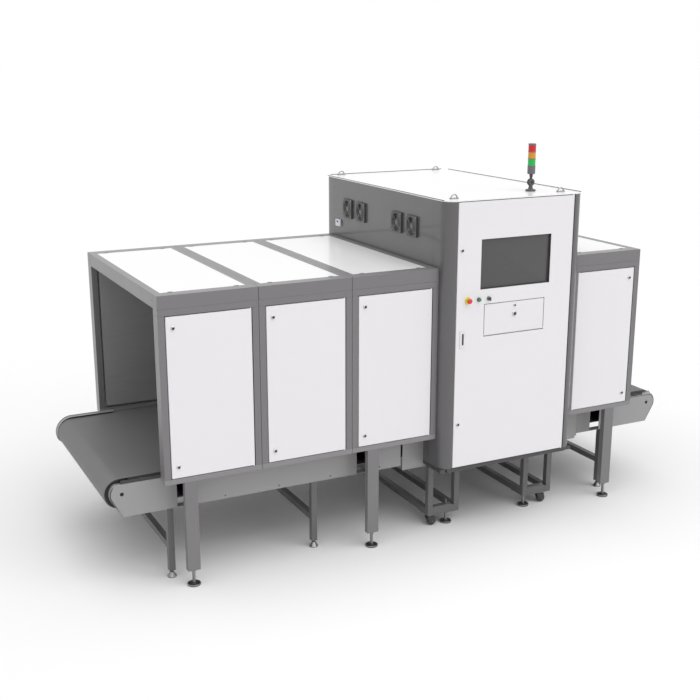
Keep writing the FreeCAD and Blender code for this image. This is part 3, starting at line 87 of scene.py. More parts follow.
class Facing(Enum):
    """The way that a fitting's axis points, as the three rows that turn its own x, y, z into the frame's."""

    UP = ((1, 0, 0), (0, 1, 0), (0, 0, 1))
    FRONT = ((1, 0, 0), (0, 0, -1), (0, 1, 0))
    BACK = ((-1, 0, 0), (0, 0, 1), (0, 1, 0))
    LEFT = ((0, 0, -1), (-1, 0, 0), (0, 1, 0))
    RIGHT = ((0, 0, 1), (1, 0, 0), (0, 1, 0))


# Shader arithmetic


class Signal:
    """A shader socket that works in Python arithmetic: every operator adds one Math node."""

    def __init__(self, recipe: "Recipe", socket: bpy.types.NodeSocket) -> None:
        """Keeps the socket and the recipe that its nodes go into."""
        self.recipe = recipe
        self.socket = socket

    def math(self, operation: str, first: "Value", second: "Value", clamp: bool = False) -> "Signal":
        """Adds a Math node.

        Args:
            operation: the Math node's operation.
            first: its first value or link.
            second: its second value or link.
            clamp: holds the result between 0 and 1.

        Returns:
            The node's result.
        """
        settings = {"operation": operation, "use_clamp": clamp}
        return self.recipe.signal("ShaderNodeMath", settings, {0: first, 1: second})

    def __add__(self, other: "Value") -> "Signal":
        """The sum."""
        return self.math("ADD", self, other)

    def __radd__(self, other: "Value") -> "Signal":
        """The sum, with a number on the left."""
        return self.math("ADD", other, self)

    def __sub__(self, other: "Value") -> "Signal":
        """The difference."""
        return self.math("SUBTRACT", self, other)

    def __rsub__(self, other: "Value") -> "Signal":
        """The difference, with a number on the left."""
        return self.math("SUBTRACT", other, self)

    def __mul__(self, other: "Value") -> "Signal":
        """The product."""
        return self.math("MULTIPLY", self, other)

    def __truediv__(self, other: "Value") -> "Signal":
        """The quotient."""
        return self.math("DIVIDE", self, other)

    def clipped(self) -> "Signal":
        """The value held between 0 and 1."""
        return self.math("ADD", self, 0.0, clamp=True)

    def above(self, edge: float, softness: float) -> "Signal":
        """0 below an edge and 1 above it, with a ramp of the given softness between."""
        return ((self - edge) / softness + 0.5).clipped()

    def wave(self, pitch: float) -> "Signal":
        """A sine from 0 to 1 along the value, one turn each pitch."""
        return self.math("SINE", self * (2 * math.pi / pitch), 0.0) * 0.5 + 0.5


Value = Union[Signal, float, Sequence[float]]


class Recipe:
    """The node tree of one material, or of the world."""

    def __init__(self, owner: Union[bpy.types.Material, bpy.types.World]) -> None:
        """Starts an empty tree with Object coordinates."""
        self.owner = owner
        owner.use_nodes = True
        self.tree = owner.node_tree
        self.tree.nodes.clear()
        self.place = self.signal("ShaderNodeTexCoord", {}, {}, "Object")

    def node(self, kind: str, settings: dict, inputs: dict) -> bpy.types.Node:
        """Adds any node.

        Args:
            kind: the node's type.
            settings: its properties, set first.
            inputs: the values or links of its sockets, by name or number.

        Returns:
            The node.
        """
        made = self.tree.nodes.new(kind)
        for key, value in settings.items():
            setattr(made, key, value)
        for key, value in inputs.items():
            if isinstance(value, Signal):
                self.tree.links.new(value.socket, made.inputs[key])
            else:
                made.inputs[key].default_value = value
        return made

    def signal(self, kind: str, settings: dict, inputs: dict, output: Union[str, int] = 0) -> Signal:
        """Adds a node and gives one of its outputs."""
        return Signal(self, self.node(kind, settings, inputs).outputs[output])

    def axes(self) -> tuple[Signal, Signal, Signal]:
        """The x, y and z of the point, in metres."""
        split = self.node("ShaderNodeSeparateXYZ", {}, {0: self.place})
        return tuple(Signal(self, split.outputs[n]) for n in range(3))

    def noise(self, scale: float, detail: float = 2.0, stretch: Sequence[float] = (1, 1, 1)) -> Signal:
        """Cloudy noise from 0 to 1.

        Args:
            scale: clouds per metre.
            detail: octaves of finer clouds.
            stretch: how much denser the clouds are along x, y and z.

        Returns:
            The noise's value.
        """
        where = self.signal("ShaderNodeMapping", {}, {"Vector": self.place, "Scale": tuple(stretch)})
        inputs = {"Vector": where, "Scale": scale, "Detail": detail}
        return self.signal("ShaderNodeTexNoise", {}, inputs)

    def tint(self, factor: Value, first: Union[Signal, Colour], second: Union[Signal, Colour]) -> Signal:
        """A colour between two, by the factor."""
        inputs = {0: factor, 6: self.colour(first), 7: self.colour(second)}
        return self.signal("ShaderNodeMix", {"data_type": "RGBA"}, inputs, 2)

    @staticmethod
    def colour(value: Union[Signal, Colour]) -> Value:
        """A colour with its alpha, or the link as it is."""
        return value if isinstance(value, Signal) else (*value, 1.0)

    def bump(self, height: Signal, distance: float, strength: float = 1.0) -> Signal:
        """A normal that leans with the height, which is in units of the distance."""
        inputs = {"Height": height, "Distance": distance, "Strength": strength}
        return self.signal("ShaderNodeBump", {}, inputs)

    def seen(self) -> Signal:
        """1 where the camera, a reflection or glass looks at the surface, and 0 where its light falls on others."""
        path = self.node("ShaderNodeLightPath", {}, {})
        camera, glossy, clear = (Signal(self, path.outputs[f"Is {kind} Ray"])
                                 for kind in ("Camera", "Glossy", "Transmission"))
        return (camera + glossy + clear).clipped()

    def finish(self, inputs: dict) -> bpy.types.Material:
        """Closes the tree with a Principled BSDF that takes the inputs, and gives the material."""
        shader = self.signal("ShaderNodeBsdfPrincipled", {}, inputs)
        self.node("ShaderNodeOutputMaterial", {}, {"Surface": shader})
        return self.owner


# Finishes


def darker(shade: Colour, share: float) -> Colour:
    """The colour times a share."""
    return tuple(min(1.0, part * share) for part in shade)


@dataclass(frozen=True)
class Paint:
    """Powder coat on sheet steel: faint orange peel, slow drift of tone and gloss, dust near the floor."""

    name: str
    slot: Slot
    shade: Colour
    roughness: float = 0.32
    coat: float = 0.0
    coat_roughness: float = 0.08
    specular: float = 0.5
    peel: float = 0.00005
    drift: float = 0.03
    dust: float = 0.10
    dust_shade: Colour = (0.42, 0.41, 0.40)

    def make(self) -> bpy.types.Material:
        """Builds the material."""
        r = Recipe(bpy.data.materials.new(self.name))
        height = r.axes()[2]
        smear = r.noise(9.0, 4, (1, 1, 0.35))
        low = (1 - height.above(0.30, 0.55)) * smear * self.dust
        clean = r.tint(r.noise(2.3, 3), darker(self.shade, 1 - self.drift), darker(self.shade, 1 + self.drift))
        gloss = smear * 0.10 + (self.roughness - 0.05) + low
        return r.finish({
            "Base Color": r.tint(low, clean, self.dust_shade),
            "Roughness": gloss.clipped(),
            "Specular IOR Level": self.specular,
            "Coat Weight": self.coat,
            "Coat Roughness": self.coat_roughness,
            "Normal": r.bump(r.noise(420.0, 2), self.peel, 0.5),
        })


@dataclass(frozen=True)
class Metal:
    """Bare or plated metal with fine lines along one way, and a bloom of dullness."""

    name: str
    slot: Slot
    shade: Colour
    roughness: float
    lines: float = 0.0
    stretch: tuple[float, float, float] = (1, 1, 1)

    def make(self) -> bpy.types.Material:
        """Builds the material."""
        r = Recipe(bpy.data.materials.new(self.name))
        bloom = r.noise(14.0, 3)
        lines = r.noise(160.0, 2, self.stretch)
        gloss = bloom * 0.10 + lines * self.lines + (self.roughness - 0.05)
        return r.finish({
            "Base Color": r.tint(bloom, darker(self.shade, 0.94), self.shade),
            "Metallic": 1.0,
            "Roughness": gloss.clipped(),
            "Normal": r.bump(lines, 0.00002, 0.4),
        })


@dataclass(frozen=True)
class Plastic:
    """Moulded plastic with a fine spark-eroded grain and a little drift of tone."""

    name: str
    slot: Slot
    shade: Colour
    roughness: float = 0.4
    grain: float = 0.00004
    coat: float = 0.0
    glow: float = 0.0

    def make(self) -> bpy.types.Material:
        """Builds the material."""
        r = Recipe(bpy.data.materials.new(self.name))
        grain = r.noise(900.0, 3)
        shade = r.tint(r.noise(25.0, 2), darker(self.shade, 0.93), darker(self.shade, 1.05))
        return r.finish({
            "Base Color": shade,
            "Roughness": (grain * 0.12 + (self.roughness - 0.06)).clipped(),
            "Coat Weight": self.coat,
            "Coat Roughness": 0.05,
            "Emission Color": (*self.shade, 1.0),
            "Emission Strength": self.glow,
            "Normal": r.bump(grain, self.grain, 0.6),
        })


@dataclass(frozen=True)
class Lining:
    """Dark shielding sheet inside the tunnel: satin, with a faint rolled grain and rub marks over the belt."""

    name: str
    slot: Slot
    shade: Colour
    roughness: float = 0.55

    def make(self) -> bpy.types.Material:
        """Builds the material."""
        r = Recipe(bpy.data.materials.new(self.name))
        height = r.axes()[2]
        rolled = r.noise(70.0, 3, (0.06, 1, 1))
        rub = (1 - height.above(0.95, 0.5)) * r.noise(30.0, 4, (0.15, 1, 1)).above(0.55, 0.3)
        sheet = r.tint(rolled, darker(self.shade, 0.93), darker(self.shade, 1.07))
        return r.finish({
            "Base Color": r.tint(rub * 0.12, sheet, darker(self.shade, 1.8)),
            "Roughness": (rolled * 0.14 + (self.roughness - 0.07) - rub * 0.1).clipped(),
            "Normal": r.bump(rolled, 0.00008, 0.5),
        })


@dataclass(frozen=True)
class BeltRubber:
    """Conveyor belt cover: a fine woven imprint, long scuffs along the run, slow clouds of wear."""

    name: str
    slot: Slot
    shade: Colour
    pitch: float = 0.0022

    def make(self) -> bpy.types.Material:
        """Builds the material."""
        r = Recipe(bpy.data.materials.new(self.name))
        x, y, z = r.axes()
        weave = (x - z).wave(self.pitch) * y.wave(self.pitch)
        scuff = r.noise(34.0, 5, (0.05, 1, 0.3))
        worn = r.noise(3.0, 3) * 0.6 + scuff * 0.4
        return r.finish({
            "Base Color": r.tint(worn, darker(self.shade, 0.84), darker(self.shade, 1.16)),
            "Roughness": (0.5 + scuff * 0.16 - weave * 0.04).clipped(),
            "Normal": r.bump(weave * 0.7 + scuff * 0.3, 0.00018, 0.5),
        })


@dataclass(frozen=True)
class Glass:
    """Dark display glass with a faint smear of fingerprints in its gloss."""

    name: str
    slot: Slot
    shade: Colour

    def make(self) -> bpy.types.Material:
        """Builds the material."""
        r = Recipe(bpy.data.materials.new(self.name))
        smear = r.noise(11.0, 5, (1, 1, 1.6))
        return r.finish({
            "Base Color": r.tint(smear, darker(self.shade, 0.96), darker(self.shade, 1.04)),
            "Roughness": (smear * 0.10 + 0.20).clipped(),
            "Coat Weight": 0.4,
            "Coat Roughness": 0.04,
        })


Finish = Union[Paint, Metal, Plastic, Lining, BeltRubber, Glass]

PAINT_FRAME = Paint("frame_grey", Slot.FRAME, (0.190, 0.184, 0.190), 0.38, coat=0.2, coat_roughness=0.16, specular=0.4)
# The sills take the frame's grey made lighter: painted light standing in for the light that the floor bounces onto
# them.
PAINT_SILL_BOUNCE_LIT = Paint("sill_grey_painted_bounce_light", Slot.FRAME, (0.245, 0.238, 0.245), 0.38, coat=0.2, coat_roughness=0.16, specular=0.4)
PAINT_PANEL = Paint("panel_white", Slot.PANEL, (0.82, 0.805, 0.83), 0.38, coat=0.15, drift=0.006, dust=0.04)
PAINT_ROOF = Paint("roof_white", Slot.ROOF, (0.90, 0.90, 0.905), 0.34, coat=0.3, coat_roughness=0.05, drift=0.004)
PAINT_WALL = Paint("wall_grey", Slot.WALL, (0.111, 0.107, 0.111), 0.30, coat=0.5, coat_roughness=0.06, specular=0.4)
PAINT_CONVEYOR = Paint("conveyor_grey", Slot.CONVEYOR, (0.32, 0.314, 0.32), 0.36, coat=0.3, coat_roughness=0.14)
PAINT_STAND = Paint("stand_grey", Slot.STAND, (0.115, 0.112, 0.115), 0.38, coat=0.3, coat_roughness=0.16)
PAINT_BASE = Paint("base_grey", Slot.STAND, (0.050, 0.048, 0.051), 0.38, coat=0.3, coat_roughness=0.16)
SHEET_LINING = Lining("shielding_sheet", Slot.LINING, (0.33, 0.323, 0.330))
RUBBER_BELT = BeltRubber("belt_cover", Slot.BELT, (0.165, 0.161, 0.163))
STEEL = Metal("bare_steel", Slot.STEEL, (0.62, 0.62, 0.63), 0.30, 0.12, (1, 0.04, 1))
METAL_DARK = Metal("blackened_steel", Slot.STEEL, (0.16, 0.158, 0.162), 0.36, 0.06)
WIRE = Metal("guard_wire", Slot.STEEL, (0.20, 0.198, 0.202), 0.34)
CHROME = Metal("bright_chrome", Slot.CHROME, (0.60, 0.60, 0.61), 0.12, 0.04)
ZINC = Metal("zinc_plate", Slot.CHROME, (0.24, 0.235, 0.24), 0.28, 0.06)
# Near-black steel of the slider bed; on the rails in the gap under the belt's edge it is painted shade as well.
BED_STEEL_AND_SHADE = Metal("bed_steel_and_painted_shade", Slot.STEEL, (0.085, 0.083, 0.086), 0.50, 0.06)
EYE_STEEL = Metal("forged_steel", Slot.STEEL, (0.36, 0.355, 0.36), 0.26, 0.05)
PLASTIC_DARK = Plastic("dark_moulding", Slot.DARK, (0.045, 0.044, 0.046), 0.42)
PLASTIC_FAN = Plastic("fan_moulding", Slot.DARK, (0.070, 0.068, 0.070), 0.40)
PLASTIC_HUB = Plastic("hub_moulding", Slot.DARK, (0.15, 0.148, 0.15), 0.40)
PLASTIC_TOWER = Plastic("tower_moulding", Slot.DARK, (0.155, 0.140, 0.160), 0.38)
PLASTIC_WHITE = Plastic("white_moulding", Slot.WHITE, (0.82, 0.82, 0.83), 0.34)
PLASTIC_HANDLE = Plastic("handle_moulding", Slot.HANDLE, (0.80, 0.79, 0.80), 0.36)
PLASTIC_YELLOW = Plastic("yellow_moulding", Slot.YELLOW, (0.74, 0.62, 0.02), 0.34)
PLASTIC_RED = Plastic("red_moulding", Slot.RED, (0.72, 0.015, 0.025), 0.28, coat=0.5)
PLASTIC_GREEN = Plastic("green_moulding", Slot.GREEN, (0.0, 0.27, 0.05), 0.28, coat=0.5)
RUBBER_TREAD = Plastic("tread_rubber", Slot.TREAD, (0.05, 0.049, 0.05), 0.55, grain=0.0001)
BLACK_ENAMEL = Plastic("black_enamel", Slot.DARK, (0.012, 0.012, 0.013), 0.5)
PLASTIC_KNUCKLE = Plastic("knuckle_moulding", Slot.DARK, (0.085, 0.082, 0.087), 0.40)
GLASS_SCREEN = Glass("display_glass", Slot.SCREEN, (0.062, 0.060, 0.063))
LENS_RED = Plastic("red_lens_moulding", Slot.RED_LENS, (0.60, 0.004, 0.012), 0.38, coat=0.1, glow=0.04)
LENS_AMBER = Plastic("amber_lens_moulding", Slot.AMBER_LENS, (0.68, 0.29, 0.012), 0.38, coat=0.1, glow=0.04)
LENS_GREEN = Plastic("green_lens_moulding", Slot.GREEN_LENS, (0.0, 0.46, 0.07), 0.38, coat=0.1, glow=0.04)
LENS_BLUE = Plastic("blue_window_moulding", Slot.WHITE, (0.012, 0.05, 0.34), 0.3, coat=0.3, glow=0.05)


class FinishShop:
    """Makes each finish's material once and puts it on pieces and CAD nodes."""

    def __init__(self) -> None:
        """Starts with no materials."""
        self.made: dict[str, bpy.types.Material] = {}

    def material(self, finish: Finish) -> bpy.types.Material:
        """The finish's material, made at its first use."""
        if finish.name not in self.made:
            self.made[finish.name] = finish.make()
        return self.made[finish.name]

    def dress(self, finish: Finish, *nodes: str) -> None:
        """Gives CAD nodes a finish through their objects' material slots."""
        for name in nodes:
            node = frame["nodes"][name]
            if not node.material_slots:
                node.data.materials.append(None)
            for holder in node.material_slots:
                holder.material = self.material(finish)


SHOP = FinishShop()


# Surfaces


@dataclass
class Shell:
    """A mesh as whole arrays: points, the corners of its faces in a row, and how many corners each face has."""

    points: np.ndarray
    corners: np.ndarray
    sizes: np.ndarray

    def moved(self, x: float = 0.0, y: float = 0.0, z: float = 0.0) -> "Shell":
        """The shell moved by an offset in metres."""
        return Shell(self.points + np.array((x, y, z)), self.corners, self.sizes)

    def turned(self, rows: Sequence[Sequence[float]]) -> "Shell":
        """The shell turned by a rotation given as its three rows."""
        return Shell(self.points @ np.array(rows, float).T, self.corners, self.sizes)

    def spun(self, degrees: float) -> "Shell":
        """The shell turned about its own z axis."""
        c, s = math.cos(math.radians(degrees)), math.sin(math.radians(degrees))
        return self.turned(((c, -s, 0), (s, c, 0), (0, 0, 1)))

    def put(self, way: Facing, place: Sequence[float]) -> "Shell":
        """The shell with its own z axis pointing a given way and its origin at a place in the frame."""
        return self.turned(way.value).moved(*place)


def joined(shells: Sequence[Shell]) -> Shell:
    """Several shells as one."""
    starts = np.cumsum([0] + [len(s.points) for s in shells[:-1]])
    return Shell(np.concatenate([s.points for s in shells]),
                 np.concatenate([s.corners + start for s, start in zip(shells, starts)]),
                 np.concatenate([s.sizes for s in shells]))


def skin(points: np.ndarray, close_rows: bool = False, caps: bool = False) -> Shell:
    """Quads over a grid of points, whose last column joins its first.

    Args:
        points: the grid, rows by columns by 3.
        close_rows: joins the last row to the first.
        caps: closes the first and the last row with one flat face each.

    Returns:
        The shell.
    """
    rows, columns = points.shape[:2]
    numbers = np.arange(rows * columns).reshape(rows, columns)
    grid = np.vstack([numbers, numbers[:1]]) if close_rows else numbers
    grid = np.hstack([grid, grid[:, :1]])
    quads = np.stack([grid[:-1, :-1], grid[:-1, 1:], grid[1:, 1:], grid[1:, :-1]], -1).reshape(-1)
    sizes = np.full(len(quads) // 4, 4)
    if caps:
        quads = np.concatenate([quads, numbers[0][::-1], numbers[-1]])
        sizes = np.concatenate([sizes, [columns, columns]])
    return Shell(points.reshape(-1, 3), quads, sizes)


def rounded(corners: Sequence[tuple[float, float]], radius: float, steps: int = 3) -> np.ndarray:
    """A polyline with its inner corners rounded: each becomes the curve (1-t)^2 a + 2t(1-t) p + t^2 b.

    Args:
        corners: the polyline's points p.
        radius: how far before and after each corner the points a and b lie, at most 0.45 of a side.
        steps: points on each curve, less one.

    Returns:
        The rounded polyline, one row a point.
    """
    line = np.array(corners, float)
    before, middle, after = line[:-2], line[1:-1], line[2:]
    back, ahead = before - middle, after - middle
    back_length = np.linalg.norm(back, axis=1, keepdims=True) + 1e-9
    ahead_length = np.linalg.norm(ahead, axis=1, keepdims=True) + 1e-9
    a = middle + back / back_length * np.minimum(radius, 0.45 * back_length)
    b = middle + ahead / ahead_length * np.minimum(radius, 0.45 * ahead_length)
    t = np.linspace(0, 1, steps + 1)[None, :, None]
    curve = (1 - t) ** 2 * a[:, None] + 2 * t * (1 - t) * middle[:, None] + t ** 2 * b[:, None]
    return np.vstack([line[:1], curve.reshape(-1, 2), line[-1:]])


def lathe(profile: Sequence[tuple[float, float]], radius: float = 0.6, sides: int = 40, closed: bool = False) -> Shell:
    """A profile turned about its own z axis: the point (r, h) goes to (r cos v, r sin v, h).

    Args:
        profile: radius and height pairs in millimetres.
        radius: the rounding of the profile's corners.
        sides: points round the axis.
        closed: the profile is a ring that joins its own start.

    Returns:
        The shell, in metres.
    """
    outline = rounded(profile, radius) * MM
    v = np.linspace(0, 2 * np.pi, sides, endpoint=False)
    height = np.broadcast_to(outline[:, 1, None], (len(outline), sides))
    grid = np.stack([outline[:, :1] * np.cos(v), outline[:, :1] * np.sin(v), height], -1)
    return skin(grid, close_rows=closed)


def disc(radius: float, low: float, high: float, edge: float, sides: int = 48) -> Shell:
    """A round plate between two levels, with eased edges, in millimetres."""
    return lathe([(0, low), (radius, low), (radius, high), (0, high)], edge, sides)


def outline(width: float, height: float, corner: float, inset: float, level: float, steps: int) -> np.ndarray:
    """A rounded rectangle at a level: four arcs about fixed centres, of radius corner less the inset."""
    turn = np.linspace(0, np.pi / 2, steps + 2)
    angle = (turn[None, :] + np.arange(4)[:, None] * np.pi / 2).reshape(-1)
    centre_x = np.repeat([1, -1, -1, 1], steps + 2) * (width / 2 - corner)
    centre_y = np.repeat([1, 1, -1, -1], steps + 2) * (height / 2 - corner)
    reach = corner - inset
    return np.stack([centre_x + reach * np.cos(angle), centre_y + reach * np.sin(angle), 0 * angle + level], -1)


def slab(width: float, height: float, thick: float, corner: float, edge: float, steps: int = 3) -> Shell:
    """A flat block in millimetres with rounded corners and edges, from z = 0 up to its thickness.

    Its outline's inset is edge (1 - sin t) at the level edge (1 - cos t) from each face, for t from 0 to a
    quarter turn.
    """
    t = np.linspace(0, np.pi / 2, steps + 1)
    inset, level = edge * (1 - np.sin(t)), edge * (1 - np.cos(t))
    insets, levels = np.concatenate([inset, inset[::-1]]), np.concatenate([level, thick - level[::-1]])
    rows = [outline(width, height, corner, back, z, steps) for back, z in zip(insets, levels)]
    return skin(np.array(rows) * MM, caps=True)


def tangents(path: np.ndarray, closed: bool) -> np.ndarray:
    """Unit tangents at a path's points; a closed path joins its own start."""
    step = np.roll(path, -1, 0) - np.roll(path, 1, 0) if closed else np.gradient(path, axis=0)
    return step / np.linalg.norm(step, axis=1, keepdims=True)


def tube(path: np.ndarray, radius: float, normal: Sequence[float], closed: bool = False, sides: int = 8) -> Shell:
    """A round wire along a flat path: p + r (cos v (tangent x normal) + sin v normal).

    Args:
        path: the points p in millimetres.
        radius: the wire's radius r in millimetres.
        normal: the unit normal of the path's plane.
        closed: the path joins its own start; otherwise its ends are capped.
        sides: points round the wire.

    Returns:
        The shell, in metres.
    """
    side = np.cross(tangents(path, closed), np.array(normal, float))
    v = np.linspace(0, 2 * np.pi, sides, endpoint=False)
    ring = side[:, None] * np.cos(v)[None, :, None] + np.array(normal, float) * np.sin(v)[None, :, None]
    return skin((path[:, None] + radius * ring) * MM, close_rows=closed, caps=not closed)


def ribbon(path: np.ndarray, section: Sequence[tuple[float, float]], closed: bool = False) -> Shell:
    """A section carried along a path in the frame's x-z plane: the path's point plus out times its normal, at y.

    Args:
        path: x and z pairs in millimetres; the normal is the tangent turned to its left.
        section: the section's corners, each how far out along the normal and its y, in millimetres.
        closed: the path joins its own start; otherwise its ends are capped.

    Returns:
        The shell, in metres.
    """
    tangent = tangents(path, closed)
    normal = np.stack([-tangent[:, 1], tangent[:, 0]], -1)
    corners = np.array(section, float)
    flat = path[:, None] + normal[:, None] * corners[None, :, :1]
    y = np.broadcast_to(corners[None, :, 1], flat.shape[:2])
    return skin(np.stack([flat[..., 0], y, flat[..., 1]], -1) * MM, close_rows=closed, caps=not closed)


def arc(centre: tuple[float, float], radius: float, start: float, end: float, steps: int = 40) -> np.ndarray:
    """Points on a circle, from one angle to another, in degrees."""
    t = np.radians(np.linspace(start, end, steps))
    return np.stack([centre[0] + radius * np.cos(t), centre[1] + radius * np.sin(t)], -1)


def circle(radius: float, count: int = 48) -> np.ndarray:
    """A ring of points in millimetres round the own z axis."""
    v = np.linspace(0, 2 * np.pi, count, endpoint=False)
    return np.stack([radius * np.cos(v), radius * np.sin(v), np.zeros(count)], -1)


def hexagon(radius: float, thick: float) -> Shell:
    """A nut's body in millimetres: six flats, with its corners turned off at both faces."""
    chamfer = 0.12 * thick
    return lathe([(0, 0), (0.9 * radius, 0), (radius, chamfer), (radius, thick - chamfer), (0.9 * radius, thick),
                  (0, thick)], 0.1, 6)


def hex_bolt(radius: float, height: float) -> Shell:
    """A hexagon head on its washer, in millimetres, from z = 0 up."""
    washer = disc(1.25 * radius, 0, 0.2 * height, 0.15, 24)
    return joined([washer, hexagon(radius, 0.85 * height).moved(z=0.15 * height * MM)])


def screw_head(radius: float, height: float) -> Shell:
    """A domed head with a round socket, in millimetres, from z = 0 up."""
    return lathe([(0, -0.4), (radius, -0.4), (radius, 0.35 * height), (0.7 * radius, height), (0.48 * radius, height),
                  (0.44 * radius, 0.4 * height), (0, 0.4 * height)], 0.4, 20)


def window(outer: tuple[float, float, float], inner: tuple[float, float, float], low: float, high: float,
           edge: float, steps: int = 3) -> Shell:
    """A block with an opening through it: a small eased rectangle, its section, carried round between two outlines.

    Args:
        outer: width, height and corner radius of the outside in millimetres.
        inner: width, height and corner radius of the opening.
        low: the level of its back face.
        high: the level of its front face.
        edge: the easing of its edges.
        steps: points on each rounded corner, less two.

    Returns:
        The shell, in metres.
    """
    section = [(outer, edge, low), (outer, 0, low + edge), (outer, 0, high - edge), (outer, edge, high),
               (inner, -edge, high), (inner, 0, high - edge), (inner, 0, low + edge), (inner, -edge, low)]
    rows = [outline(*shape, inset, level, steps) for shape, inset, level in section]
    return skin(np.array(rows) * MM, close_rows=True)


# Pieces

BODY_OF = {node: body for body, nodes in frame["record"]["behaviour"]["bodies"].items() for node in nodes}


def piece(name: str, shell: Shell, finish: Finish, body: str = "frame", replaces: Sequence[str] = (),
          bevel: float = 0.0, flats: bool = False) -> bpy.types.Object:
    """Makes a shell into a finished object that rides on a body.

    Args:
        name: the piece's name.
        shell: its surface, in metres in the frame.
        finish: its finish.
        body: the CAD body that it rides on.
        replaces: CAD nodes that it stands for.
        bevel: rounding of its sharp edges, in millimetres.
        flats: joins the flat triangles of a CAD copy into whole faces first.

    Returns:
        The object.
    """
    mesh = bpy.data.meshes.new(name)
    faces = np.split(shell.corners, np.cumsum(shell.sizes)[:-1])
    mesh.from_pydata(shell.points.tolist(), [], [face.tolist() for face in faces])
    work = bmesh.new()
    work.from_mesh(mesh)
    bmesh.ops.remove_doubles(work, verts=work.verts, dist=2e-6)
    bmesh.ops.dissolve_degenerate(work, edges=work.edges, dist=1e-6)
    if flats:
        bmesh.ops.dissolve_limit(work, angle_limit=math.radians(0.6), verts=work.verts, edges=work.edges)
    else:
        bmesh.ops.recalc_face_normals(work, faces=work.faces)
    work.to_mesh(mesh)
    work.free()
    mesh.shade_smooth()
    mesh.set_sharp_from_angle(angle=math.radians(38))
    made = bpy.data.objects.new(name, mesh)
    bpy.context.scene.collection.objects.link(made)
    mesh.materials.append(SHOP.material(finish))
    if bevel:
        easing = made.modifiers.new("eased_edges", "BEVEL")
        easing.width = bevel * MM
        easing.segments = 2
        easing.limit_method = "ANGLE"
        easing.angle_limit = math.radians(50)
        easing.harden_normals = True
    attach(made, body)
    if replaces:
        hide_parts(*replaces)
    LOG.info("%s: %d faces on %s", name, len(mesh.polygons), body)
    return made


def cad_shell(node: str) -> Shell:
    """A CAD node's triangles as a shell."""
    mesh = frame["nodes"][node].data
    points = np.empty(len(mesh.vertices) * 3, np.float32)
    mesh.vertices.foreach_get("co", points)
    corners = np.empty(len(mesh.loops), np.int32)
    mesh.loops.foreach_get("vertex_index", corners)
    return Shell(points.reshape(-1, 3).astype(float), corners, np.full(len(mesh.polygons), 3))


def solids(node: str) -> list[tuple[np.ndarray, np.ndarray]]:
    """The boxes of a CAD node's separate solids: equal points get one number, and the lowest number that
    each triangle touches spreads until nothing changes."""
    shell = cad_shell(node)
    keys, where = np.unique(np.round(shell.points / 1e-5).astype(np.int64), axis=0, return_inverse=True)
    triangles = where.reshape(-1)[shell.corners].reshape(-1, 3)
    label = np.arange(len(keys))
    while True:
        fresh = label.copy()
        np.minimum.at(fresh, triangles.ravel(), np.repeat(label[triangles].min(1), 3))
        fresh = fresh[fresh]
        if (fresh == label).all():
            break
        label = fresh
    places = keys * 1e-5
    return [(places[label == n].min(0), places[label == n].max(0)) for n in np.unique(label)]


def middle(low: Sequence[float], high: Sequence[float]) -> np.ndarray:
    """The middle of a box given by its corners."""
    return (np.array(low, float) + np.array(high, float)) / 2


def face_centre(box: Sequence[Sequence[float]], axis: int, end: int) -> np.ndarray:
    """The middle of one face of a box: at its low or high end, 0 or 1, along an axis."""
    place = middle(*box)
    place[axis] = box[end][axis]
    return place


def repeated(shell: Shell, way: Facing, places: Sequence[Sequence[float]]) -> Shell:
    """Copies of a shell at several places, their own z axes pointing a given way."""
    return joined([shell.put(way, place) for place in places])


def softened(node: str, finish: Finish, bevel: float) -> bpy.types.Object:
    """A CAD node's shape with its sharp edges eased, as rolled or folded metal has them."""
    return piece(f"{node}_eased", cad_shell(node), finish, BODY_OF[node], [node], bevel, flats=True)


# Sub-assemblies

LOCK_NODES = ("door_locks", "flap_locks", *(f"side_panel_locks_{n}" for n in range(1, 5)))
SIDE_PANELS = tuple(f"side_panel_{n}" for n in range(1, 5))


@dataclass
class RoundLock:
    """A round cam lock in millimetres: chrome bezel, dark barrel and key slot, own z pointing out of the sheet."""

    radius: float = 13.0
    reach: float = 9.0

    def bezel(self) -> Shell:
        """The stepped chrome ring round the barrel."""
        r, h = self.radius, self.reach
        return lathe([(0, -1), (r, -1), (r, 0.10 * h), (0.93 * r, 0.22 * h), (0.84 * r, 0.26 * h), (0.82 * r, 0.86 * h),
                      (0.76 * r, h), (0.60 * r, h), (0.55 * r, 0.7 * h), (0, 0.7 * h)], 0.5, 32)

    def barrel(self) -> Shell:
        """The barrel's face with its raised key guard."""
        r, h = self.radius, self.reach
        face = lathe([(0, 0.62 * h), (0.56 * r, 0.62 * h), (0.55 * r, 0.86 * h), (0.50 * r, 0.92 * h), (0, 0.90 * h)],
                     0.3, 24)
        guard = slab(0.2 * r, 0.78 * r, 0.9, 0.09 * r, 0.2, 2).moved(z=0.86 * h * MM)
        return joined([face, guard])


